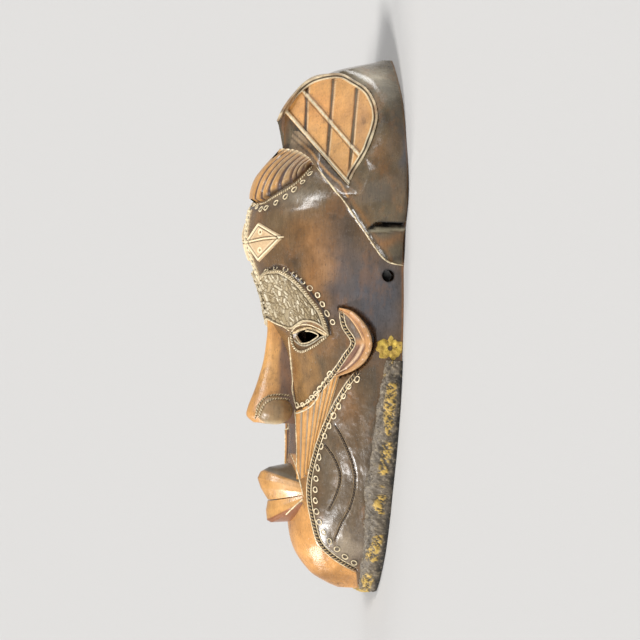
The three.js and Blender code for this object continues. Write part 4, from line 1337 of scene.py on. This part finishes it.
# Edges in the drawing over which the lips turn dark, as their u and their v.
LIP_TOP_EDGE = ([50.9, 82.6], [76.3, 86.0])
LIP_UNDER_EDGE = ([52, 77], [64.5, 51.0])


def lip_rings(lip, steps, divisions=8):
    """Rings of one lip from its right corner to its left one."""
    across = np.linspace(-1, 1, steps)[:, None, None]
    dense = []
    for key in ("middle", "corner"):
        points = np.array(lip[key], float)
        sides = zip(points, np.roll(points, -1, axis=0))
        dense.append(np.concatenate([np.linspace(a, b, divisions, endpoint=False) for a, b in sides]))
    section = dense[0][None] * (1 - across**2) + dense[1][None] * across**2
    x = np.broadcast_to(across[..., 0] * MOUTH_HALF_WIDTH, section.shape[:2])
    return np.stack([x, section[..., 1] - MID_HEIGHT, section[..., 0]], -1)


class MASK_OT_lips(bpy.types.Operator):
    """Carve the two projecting lips"""

    bl_idname = "mask.lips"
    bl_label = "Lips"

    def execute(self, context):
        material = polished_wood("lip_wood", 0.33, 0.3, 0.3)
        # The pale first spot is a painted highlight on the upper lip; the second is a deeper orange stain.
        spots = [(60, 76, 8, 7, paint(222, 176, 124), 0.8), (80, 78, 6, 6, DEEP_ORANGE, 0.3)]
        for name, lip in (("upper_lip", UPPER_LIP), ("lower_lip", LOWER_LIP)):
            bm = new_form()
            rings = lip_rings(lip, 81)
            u, v = to_drawing(rings)
            colour = spotted(ORANGE, u, v, spots)
            if name == "upper_lip":
                top_face = smooth(0, 1.2, v - np.interp(u, *LIP_TOP_EDGE))
                colour = blend(colour, paint(116, 106, 88), top_face)
            else:
                under_face = smooth(0, 1.0, np.interp(u, *LIP_UNDER_EDGE) - v)
                colour = blend(colour, paint(150, 96, 62), under_face)
            loft(bm, rings, colour)
            finished(bm, name, material, sides=False, sharp=28)
        return {"FINISHED"}


class MASK_OT_ears(bpy.types.Operator):
    """Carve the crescent ears"""

    bl_idname = "mask.ears"
    bl_label = "Ears"

    def execute(self, context):
        bm = new_form()
        place, share, length = between(EAR_FRONT, EAR_BACK, 70, 150)
        u, v = place[..., 0], place[..., 1]
        upper, lower = 1 - smooth(0.4, 0.52, length), smooth(0.46, 0.58, length)
        scallop = 1 + 0.1 * np.sin(length * 70) * smooth(0.8, 1.0, share) * bump(length, 0.55, 0.35)
        taper = np.minimum(1, np.sin(math.pi * length) * 1.8 + 0.25)
        rise = np.interp(share, EAR_RISE["at"], EAR_RISE["rise"]) * taper * scallop
        rise += 0.9 * bump(share, 0.58, 0.07) * upper + 1.1 * bump(share, 0.52, 0.12) * lower
        rise -= (0.9 * bump(share, 0.68, 0.07) + 0.8 * bump(share, 0.38, 0.07)) * lower
        rise -= 2.8 * (1 - smooth(0.06, 0.18, share))
        # In the lower half the ridge is painted pale and the hollow in front of it darker: painted light and
        # painted shade.
        bright = smooth(0.38, 0.48, share) * (1 - smooth(0.56, 0.64, share))
        bowl = blend(paint(126, 92, 74), paint(220, 186, 150), bright)
        colour = layered(
            spotted(paint(190, 138, 86), u, v, EAR_SPOTS),
            (paint(92, 74, 56), upper * (1 - smooth(0.5, 0.58, share))),
            (paint(222, 178, 128), 0.9 * upper * bump(share, 0.58, 0.06)),
            (paint(128, 88, 66), 0.8 * upper * bump(share, 0.68, 0.07)),
            (bowl, lower * (1 - smooth(0.64, 0.72, share))),
            (paint(128, 84, 58), 0.8 * lower * bump(share, 0.68, 0.07)),
            (paint(228, 190, 140), 0.6 * bump(share, 0.96, 0.05)),
            (paint(136, 108, 72), 1 - smooth(0.1, 0.2, share)),
        )
        raised(bm, place, rise, colour)
        finished(bm, "ears", polished_wood("ear_wood", 0.38, 0.25, 0.15))
        return {"FINISHED"}


class MASK_OT_ribs(bpy.types.Operator):
    """Carve the ribs between the cheek and jaw cords"""

    bl_idname = "mask.ribs"
    bl_label = "Cheek Ribs"

    def execute(self, context):
        bm = new_form()
        place, _, b = between(RIB_FOOT, RIB_TOP, 90, 130)
        u, v = place[..., 0], place[..., 1]
        height, phase = ribbed(b, RIBS, 0.34)
        crest = spotted(ORANGE, u, v, [(54, 110, 3, 20, DEEP_ORANGE, 0.6)])
        colour = layered(
            MAUVE,
            (crest, smooth(0.2, 0.6, height)),
            # Cream on the one wall of each groove that faces the light: painted light.
            (CREAM, bump(phase, 0.9, 0.1) * (0.35 + 0.6 * smooth(0.3, 0.8, b))),
        )
        raised(bm, place, 0.2 + 1.7 * height, colour)
        finished(bm, "cheek_ribs", polished_wood("rib_wood", 0.42, 0.3, 0.1))
        return {"FINISHED"}


# Twisted cords: their line, their size as a share of the cord radius, and where along them knots sit.
CORDS = [
    (CHEEK_CORD[:6], 1.0, ()),
    (JAW_CORD, 1.0, ()),
    (INNER_CRESCENT, 0.62, (0.5,)),
    (OUTER_CRESCENT, 0.66, (0.42, 0.72)),
]
CORD_TAILS = [
    [(41.8, 144.2), (44.8, 141.3), (49.6, 135.6), (57, 131.6), (61, 132.3)],
    [(41.8, 144.2), (43.4, 138.5), (48.5, 131.9), (55.6, 127.9), (61.2, 126.6)],
]
# Fine ridges of the drawing: points, and thickness as a share of the ridge radius.
RIDGES = [
    (HAIRLINE, 1.1),
    ([(65.3, 181), (63.2, 165), (61.5, 151), (61.4, 143), (58.5, 132)], 1.1),
    ([(59.3, 130), (57.2, 108), (56.5, 84)], 0.8),
    ([(61, 98), (56.5, 88), (51, 68)], 0.9),
    ([(63.2, 54.6), (57, 61), (51.2, 66.5)], 1.0),
    ([(82, 194), (75, 190.5), (68.1, 187.9), (64.8, 185.4)], 1.0),
]
BEADED = [
    BROW_BEADS,
    FORELOCK_ROPE,
    [(87.2, 122.1), (84.7, 131.8), (79.2, 138), (71.5, 139.7), (62.6, 139.3)],
    [(84.6, 122.6), (82.3, 130.4), (77.6, 135.4), (71, 136.8), (62.6, 136.5)],
]


# Finer than the main cords, the crescents have a shorter turn and thinner scraped edges.
CRESCENT_PITCH = 0.8
MAIN_EDGE, CRESCENT_EDGE = 0.85, 0.45
EDGE_GAP = 0.55
KNOT_SWELL, KNOT_REACH = 0.7, 0.03
# Round bars of the eyelids: line, height over the face, radius and stain.
LID_BARS = [
    (UPPER_LID, 0.3, 0.5, CREAM),
    (LID_BAND, 0.4, 1.05, paint(214, 188, 144)),
    (LID_FOOT, 0.3, 0.7, paint(176, 164, 138)),
]


class MASK_OT_cords(bpy.types.Operator):
    """Carve the dark twisted cords of the cheek and jaw with their scraped edges"""

    bl_idname = "mask.cords"
    bl_label = "Cords"

    def execute(self, context):
        sizes, colours = context.scene.mask_sizes, context.scene.mask_colours
        trees = surface_of("carved_face", "ears", "cheek_ribs", "brow_pads")
        dark = np.array(colours.cord)
        cord, edges = new_form(), new_form()
        for points, share, knots in CORDS:
            main = share == 1
            radius = sizes.cord_radius * share
            pale = paint(172, 148, 108) if main else paint(104, 84, 60)
            line = evenly(spline(points, 400), spacing=0.35)
            path, normals = laid(trees, line, 0.0)
            share_run = np.linspace(0, 1, len(path))
            swell = np.sum([bump(share_run, knot, KNOT_REACH) for knot in knots], axis=0)
            pitch = sizes.cord_pitch * (1 if main else CRESCENT_PITCH)
            twisted(cord, path, normals, radius * (1 + KNOT_SWELL * swell), pitch, (dark, pale))
            across = unit(np.stack([-np.gradient(line[:, 1]), np.gradient(line[:, 0])], -1))
            for away in (-1, 1):
                beside = line + across * away * (radius + EDGE_GAP)
                edge_path, edge_normals = laid(trees, beside[::2], 0.0)
                width = sizes.ridge_radius * (MAIN_EDGE if main else CRESCENT_EDGE)
                tone = np.array(colours.edge) if main else paint(150, 128, 96)
                tube(edges, edge_path, edge_normals, width, tone, sides=6)
        for points in CORD_TAILS:
            path, normals = laid(trees, evenly(spline(points, 200), spacing=0.5), 0.1)
            tube(edges, path, normals, sizes.ridge_radius * 1.1, np.array(colours.edge), sides=8)
        finished(cord, "twisted_cords", blackened_cord("blackened_cord"))
        finished(edges, "cord_edges", scraped_edge("scraped_cord_edge"))
        return {"FINISHED"}


class MASK_OT_ridges(bpy.types.Operator):
    """Carve the thin scraped ridges, the beaded nostril lines and the eyelids"""

    bl_idname = "mask.ridges"
    bl_label = "Ridges and Eyelids"

    def execute(self, context):
        sizes, edge = context.scene.mask_sizes, np.array(context.scene.mask_colours.edge)
        trees = surface_of(
            "carved_face", "ears", "cheek_ribs", "brow_pads", "nose", "nose_wings", "upper_lip", "lower_lip",
        )
        bm = new_form()
        for points, share in RIDGES:
            path, normals = laid(trees, evenly(spline(points, 300), spacing=0.8), 0.1)
            uneven = 1 + 0.3 * rough(np.arange(len(path)), 0, 4, 61)
            tube(bm, path, normals, sizes.ridge_radius * share * uneven, edge, sides=8)
        finished(bm, "scraped_ridges", scraped_edge("scraped_ridge"))
        bm = new_form()
        for points in BEADED:
            path, normals = laid(trees, evenly(spline(points, 200), spacing=0.4), 0.2)
            twisted(bm, path, normals, 0.8, 2.0, (edge, paint(140, 116, 80)))
        path, normals = laid(trees, evenly(spline(LOWER_LID, 200), spacing=0.4), 0.5)
        twisted(bm, path, normals, 1.0, 2.2, (edge, paint(132, 108, 74)))
        finished(bm, "beaded_lines", scraped_edge("beaded_wood"))
        bm = new_form()
        for line, rise, radius, tone in LID_BARS:
            path, normals = laid(trees, evenly(spline(line, 200), spacing=0.5), rise)
            tube(bm, path, normals, radius, tone, sides=12)
        rim = np.array(EYE_OPENING, float)
        rim = (rim - rim.mean(0)) * 1.12 + rim.mean(0)
        path, normals = laid(trees, evenly(spline(np.concatenate([rim, rim[:1]]), 200), spacing=0.5), 0.1)
        tube(bm, path, normals, 0.5, blend(CREAM, BROWN, 0.2), sides=12)
        finished(bm, "eyelids", scraped_edge("eyelid_wood"))
        return {"FINISHED"}


# Radius (mm) of the bar that a small loop is bent from, and its steps round the loop and round the bar.
LOOP_THICKNESS = 0.5
LOOP_STEPS, BAR_SIDES = 12, 6
# How far a loop may turn, in radians, and how long and wide it may be as shares of the loop radius.
LOOP_TURN = 0.5
LOOP_LENGTHS, LOOP_WIDTHS = (0.85, 1.1), (0.65, 0.95)
# Rows of small loops: the line they follow and how many there are.
LOOP_ROWS = [
   
    ([(15.8, 153), (21.3, 147.8), (27.9, 134), (33.9, 121), (39.3, 105.2), (41.5, 90), (42.7, 78), (42.4, 66),
      (41.2, 57), (38.1, 47.7), (34, 40.1), (28.1, 33.9), (20.8, 27), (13.5, 22.3)], 20),
    ([(82.9, 227.4), (78.8, 229.6), (74.9, 229.8), (69.9, 229.2), (62.6, 225.2), (57.2, 221.1), (50.6, 215.7),
      (44.7, 210.2), (40.1, 201.1), (34.5, 192.8)], 10),
    ([(57.7, 132.7), (55.6, 132.7), (52.5, 133.9), (49.3, 136.2), (45.5, 140.5), (42, 145.6), (38.4, 149.6),
      (35.1, 155.8)], 9),
    ([(84.4, 272.1), (78.9, 275.1), (71.9, 279.6), (65, 285.5), (58.8, 291.4), (54, 297.3)], 6),
    ([(93.8, 274.6), (90.9, 272.6), (88, 271.2)], 3),
]


def hoop(bm, layer, rings, colour):
    """One closed hoop, spun from a small circle and then bent to its rings of points."""
    steps, sides = rings.shape[:2]
    start = Matrix.Translation((1, 0, 0)) @ Matrix.Rotation(math.pi / 2, 4, "X")
    ring = bmesh.ops.create_circle(bm, cap_ends=False, segments=sides, radius=0.1, matrix=start)["verts"]
    edges = list({edge for vert in ring for edge in vert.link_edges})
    older = len(bm.verts) - sides
    bmesh.ops.spin(
        bm, geom=ring + edges, cent=(0, 0, 0), axis=(0, 0, 1), angle=2 * math.pi, steps=steps, use_merge=True,
        use_duplicate=False)
    for vert in list(bm.verts)[older:]:
        x, y, z = vert.co
        step = round(math.atan2(y, x) / (2 * math.pi) * steps) % steps
        turn = round(math.atan2(z, math.hypot(x, y) - 1) / (2 * math.pi) * sides) % sides
        vert.co = rings[step, turn] * MM
        vert[layer] = (*colour, 1)


class MASK_OT_loops(bpy.types.Operator):
    """Carve the rows of small loops along cords and brows"""

    bl_idname = "mask.loops"
    bl_label = "Loops"

    def execute(self, context):
        size = context.scene.mask_sizes.loop_radius
        edge = np.array(context.scene.mask_colours.edge)
        trees = surface_of("carved_face", "cheek_ribs", "brow_pads", "forelock", "ears")
        rng = np.random.default_rng(5)
        angle = np.linspace(0, 2 * math.pi, LOOP_STEPS, endpoint=False)[:, None]
        section = np.linspace(0, 2 * math.pi, BAR_SIDES, endpoint=False)[None, :, None]
        bm = new_form()
        layer = bm.verts.layers.float_color[STAIN]
        for points, count in LOOP_ROWS:
            path, normals = laid(trees, evenly(spline(points, 200), count=count), 0.1)
            tangents = unit(np.gradient(path, axis=0))
            for place, normal, tangent in zip(path, normals, tangents):
                side = unit(np.cross(normal, tangent))
                turn = rng.uniform(-LOOP_TURN, LOOP_TURN)
                long = (tangent * math.cos(turn) + side * math.sin(turn)) * size * rng.uniform(*LOOP_LENGTHS)
                wide = (side * math.cos(turn) - tangent * math.sin(turn)) * size * rng.uniform(*LOOP_WIDTHS)
                centres = place + np.cos(angle) * long + np.sin(angle) * wide
                out = unit(centres - place)[:, None]
                rings = centres[:, None] + LOOP_THICKNESS * (out * np.cos(section) + normal * np.sin(section))
                hoop(bm, layer, rings, edge)
        finished(bm, "carved_loops", scraped_edge("loop_wood"), sharp=80)
        return {"FINISHED"}


def beard_route(steps):
    """Points of the rim from the left rosette round the chin to the right one."""
    share = np.linspace(0, 1, steps // 2)
    v = BEARD["foot"] + (BEARD["top"] - BEARD["foot"]) * np.sin(math.pi / 2 * share) ** 1.6
    left = np.stack([along(RIM_WIDTHS, v), v], -1)
    left[0, 0] = 0
    return evenly(np.concatenate([left[::-1], left[1:] * [-1, 1]]), count=steps)


BEARD_STEPS = 560
# Painted stretches of the beard, then its stretches with a painted highlight on the crest: height above the
# chin and reach (mm).
BEARD_PAINT = ((138, 27), (99, 15), (67, 11), (36, 16), (9, 10))
BEARD_HIGHLIGHTS = ((66, 12), (17, 16))


def beard_strokes(run, cord):
    """Two crossing sets of strokes over the beard's length and section (mm), from below 0 to 1."""
    strokes = []
    for seed, lean in ((76, 1), (77, -1)):
        along_cut, over_cut = run * 0.8 + lean * cord * 0.6, cord * 0.8 - lean * run * 0.6
        strokes.append(1 - np.abs(rough(over_cut * 2.0, along_cut * 0.6, 2.6, seed)) * 3.0)
    return np.maximum(*strokes)


class MASK_OT_beard(bpy.types.Operator):
    """Carve the rough beard along the lower rim"""

    bl_idname = "mask.beard"
    bl_label = "Beard"

    def execute(self, context):
        route = beard_route(BEARD_STEPS)
        v = route[:, 1:]
        tangent = unit(np.gradient(route, axis=0))
        outward = np.stack([tangent[:, 1], -tangent[:, 0]], -1)
        outward *= np.sign((outward * (route - [0, 95])).sum(-1, keepdims=True))
        run = np.concatenate([[0], np.cumsum(np.linalg.norm(np.diff(route, axis=0), axis=1))])[:, None]
        section = evenly(spline(BEARD_SECTION, 120), count=44)
        across = np.linspace(0, 1, len(section))[None]
        cord = np.linspace(0, 40, len(section))[None]
        outer = smooth(0.3, 0.45, across)
        stroke = smooth(0.1, 0.7, beard_strokes(run, cord) + 0.2 * rough(run, cord, 1.6, 78)) * outer
        lumps = 1.0 * rough(run, cord, 5.5, 72) + 0.35 * rough(run, cord, 2.2, 73)
        push = (lumps * 0.8 + 0.9 * stroke - 0.5 * outer) * smooth(0.0, 0.1, across)
        push = push * (1 - smooth(0.9, 1.0, across))
        bulge = unit(section * [0.8, 1] - [0, 0.2])
        taper = 1 - 0.35 * np.linspace(-1, 1, BEARD_STEPS)[:, None] ** 6
        lower = 0.72 + 0.28 * np.minimum(1, v / 40)
        swell = 1 + 0.14 * bump(v, 77, 16) - 0.1 * bump(v, 38, 18)
        side = np.where(section[:, 0] < 0, BEARD["inward"], BEARD["outward"]) * section[:, 0]
        reach = side[None] * taper + push * bulge[None, :, 0]
        height = section[None, :, 1] * BEARD["rise"] * taper * lower * swell
        height = np.maximum(height + push * bulge[None, :, 1], 0)
        x = route[:, :1] + outward[:, :1] * reach
        y = v + outward[:, 1:] * reach - MID_HEIGHT
        patchy = np.max([bump(v, middle, half) for middle, half in BEARD_PAINT], axis=0)
        patchy = smooth(0.1, 0.5, patchy + 0.35 * rough(run, cord, 5, 74))
        patchy = patchy * bump(height + 2 * rough(run, cord, 7, 79), 8, 6.5)
        crest_highlight = np.max([bump(v, middle, half) for middle, half in BEARD_HIGHLIGHTS], axis=0)
        colour = layered(
            CLAY,
            (SHADE, 0.6 * smooth(0.1, 0.9, -lumps)),
            (SHADE, 0.8 * outer * (1 - stroke) * (0.3 + 0.7 * smooth(0.1, 0.5, patchy))),
            (OCHRE, smooth(0.15, 0.6, stroke * patchy)),
            # Black low on the outer side, towards the floor: a painted shadow.
            (BLACK, outer * (1 - smooth(0.5, 5.0, height + 1.5 * rough(run, cord, 4, 80)))),
            # Cream along the crest in the listed stretches: a painted highlight.
            (CREAM, 0.75 * crest_highlight * bump(across, 0.27, 0.09)),
        )
        bm = new_form()
        loft(bm, np.stack([x, y, height], -1), colour)
        finished(bm, "beard", crusted_beard("beard_crust"), sides=False, sharp=60)
        return {"FINISHED"}


# Waves round the outline of the rosette: how many, where they start and how high they are.
ROSETTE_WAVES = ((2, 0, -0.11), (5, 0.5, 0.08), (7, 1, 0.06), (11, 0, 0.05))


class MASK_OT_rosettes(bpy.types.Operator):
    """Model the painted rosette behind each ear"""

    bl_idname = "mask.rosettes"
    bl_label = "Rosettes"

    def execute(self, context):
        turn = np.linspace(0, 2 * math.pi, 96, endpoint=False)
        shares = np.concatenate([[1, 1, 1], np.linspace(0.98, 0.16, 22), [0.15, 0.15]])
        levels = np.concatenate([[-9, -2, 0.2], np.linspace(1.2, 1.6, 22), [0.4, -6]])
        wave = sum((size * np.cos(count * turn + start) for count, start, size in ROSETTE_WAVES), 0.83)
        rings, colours = [], []
        for share, level in zip(shares, levels):
            radius = ROSETTE["radius"] * share * (1 + (wave - 1) * smooth(0.1, 0.8, share))
            y, z = radius * np.cos(turn), radius * np.sin(turn)
            lump = 0.7 * rough(y, z, 2.2, 81) + 0.4 * np.cos(7 * turn + 0.5) * share
            x = along(RIM_WIDTHS, ROSETTE["v"]) - 1.0 + level + lump * (level > 0.5)
            rings.append(np.stack([x, ROSETTE["v"] - MID_HEIGHT + y, np.maximum(ROSETTE["z"] + z, 0.1)], -1))
            tone = blend(paint(224, 192, 84), paint(168, 134, 60), 0.5 + 0.5 * rough(y, z, 3, 82))
            # Black in the middle of the rosette, round its hole: painted shade in the hole.
            colours.append(blend(tone, BLACK, np.full(len(turn), float(share < 0.17))))
        bm = new_form()
        loft(bm, np.array(rings), np.array(colours))
        finished(bm, "rosettes", ochre_paint("ochre_paint"))
        return {"FINISHED"}


# Floor, in metres
FLOOR_RADIUS = 30
FLOOR_GAP = 0.0002
# Lamps: name, way to the lamp (towards the viewer, left, up), strength and width in degrees.
LAMPS = [
    ("key_lamp", (0.46, 0.58, -0.64), 2.9, 14),
    ("low_lamp", (-0.05, 0.6, -0.8), 1.3, 20),
    ("side_lamp", (0.45, 0.76, 0.4), 1.3, 16),
    ("top_lamp", (-0.1, 0.3, 0.95), 1.3, 24),
    ("fill_lamp", (1, 0, 0.3), 0.55, 60),
]
STUDIO_LIGHT = (0.9, 0.93, 1.0, 1)
STUDIO_STRENGTH = 0.34


def lamp(name, way, strength, spread):
    """Soft distant lamp that shines from the given way, as wide as the spread in degrees."""
    data = bpy.data.lights.new(name, "SUN")
    data.energy = strength
    data.angle = math.radians(spread)
    body = bpy.data.objects.new(name, data)
    body.rotation_euler = way.to_track_quat("Z", "Y").to_euler()
    bpy.context.scene.collection.objects.link(body)


class MASK_OT_stage(bpy.types.Operator):
    """Set the floor, the soft lamps and the camera of the photograph"""

    bl_idname = "mask.stage"
    bl_label = "Stage"

    def execute(self, context):
        bm = bmesh.new()
        below = Matrix.Translation((0, 0, -FLOOR_GAP))
        bmesh.ops.create_circle(bm, cap_ends=True, segments=96, radius=FLOOR_RADIUS, matrix=below)
        mesh = bpy.data.meshes.new("floor")
        bm.to_mesh(mesh)
        bm.free()
        floor = bpy.data.objects.new("floor", mesh)
        context.scene.collection.objects.link(floor)
        mesh.materials.append(studio_floor("studio_floor", np.array(context.scene.mask_colours.floor)))
        towards, left, up = Vector(TOWARDS_VIEWER), Vector((-SIN, 0, COS)), Vector((0, 1, 0))
        for name, way, strength, spread in LAMPS:
            lamp(name, towards * way[0] + left * way[1] + up * way[2], strength, spread)
        world = bpy.data.worlds.new("studio")
        world.use_nodes = True
        background = next(n for n in world.node_tree.nodes if n.type == "BACKGROUND")
        background.inputs["Color"].default_value = STUDIO_LIGHT
        background.inputs["Strength"].default_value = STUDIO_STRENGTH
        context.scene.world = world
        context.scene.view_settings.view_transform = "Standard"
        self.camera(context, towards, left, up)
        return {"FINISHED"}

    def camera(self, context, towards, left, up):
        """Looks along the drawing's axis, turned so that the mask stands upright in the picture."""
        data = bpy.data.cameras.new("camera")
        data.sensor_width = SENSOR
        data.lens = SENSOR * (VIEW_DISTANCE - NEAR_SIDE * MM) / (PIXELS * PIXEL_SIZE * MM)
        data.clip_end = 100
        camera = bpy.data.objects.new("camera", data)
        context.scene.collection.objects.link(camera)
        target = left * VIEW_CENTRE[0] * MM + up * (VIEW_CENTRE[1] - MID_HEIGHT) * MM
        head = up * math.cos(PHOTO_TILT) + left * math.sin(PHOTO_TILT)
        pose = Matrix((head.cross(towards), head, towards)).transposed().to_4x4()
        pose.translation = target + towards * VIEW_DISTANCE
        camera.matrix_world = pose
        context.scene.camera = camera


PIECES = (
    MASK_OT_stage, MASK_OT_face, MASK_OT_crown, MASK_OT_forelock, MASK_OT_ornament, MASK_OT_brows,
    MASK_OT_nose, MASK_OT_lips, MASK_OT_ears, MASK_OT_ribs, MASK_OT_cords, MASK_OT_ridges,
    MASK_OT_loops, MASK_OT_beard, MASK_OT_rosettes,
)


class MASK_PT_sidebar(bpy.types.Panel):
    """Settings and buttons for every step of the mask"""

    bl_idname = "MASK_PT_sidebar"
    bl_label = "Carved Mask"
    bl_space_type = "VIEW_3D"
    bl_region_type = "UI"
    bl_category = "Mask"

    def draw(self, context):
        """Lists the settings, then one button for each step."""
        for group in (context.scene.mask_sizes, context.scene.mask_colours):
            for name in group.__annotations__:
                self.layout.prop(group, name)
        for piece in PIECES:
            self.layout.operator(piece.bl_idname)


CLASSES = (MaskSizes, MaskColours, *PIECES, MASK_PT_sidebar)


def register():
    """Adds the classes and both groups of settings."""
    for cls in CLASSES:
        bpy.utils.register_class(cls)
    bpy.types.Scene.mask_sizes = PointerProperty(type=MaskSizes)
    bpy.types.Scene.mask_colours = PointerProperty(type=MaskColours)


def unregister():
    """Takes away what register adds."""
    del bpy.types.Scene.mask_colours
    del bpy.types.Scene.mask_sizes
    for cls in reversed(CLASSES):
        bpy.utils.unregister_class(cls)


def main():
    """Builds the mask on its stage."""
    register()
    bpy.ops.mask.stage()
    bpy.ops.mask.face()
    bpy.ops.mask.crown()
    bpy.ops.mask.forelock()
    bpy.ops.mask.ornament()
    bpy.ops.mask.brows()
    bpy.ops.mask.nose()
    bpy.ops.mask.lips()
    bpy.ops.mask.ears()
    bpy.ops.mask.ribs()
    bpy.ops.mask.cords()
    bpy.ops.mask.ridges()
    bpy.ops.mask.loops()
    bpy.ops.mask.beard()
    bpy.ops.mask.rosettes()
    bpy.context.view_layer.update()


if __name__ == "__main__":
    main()
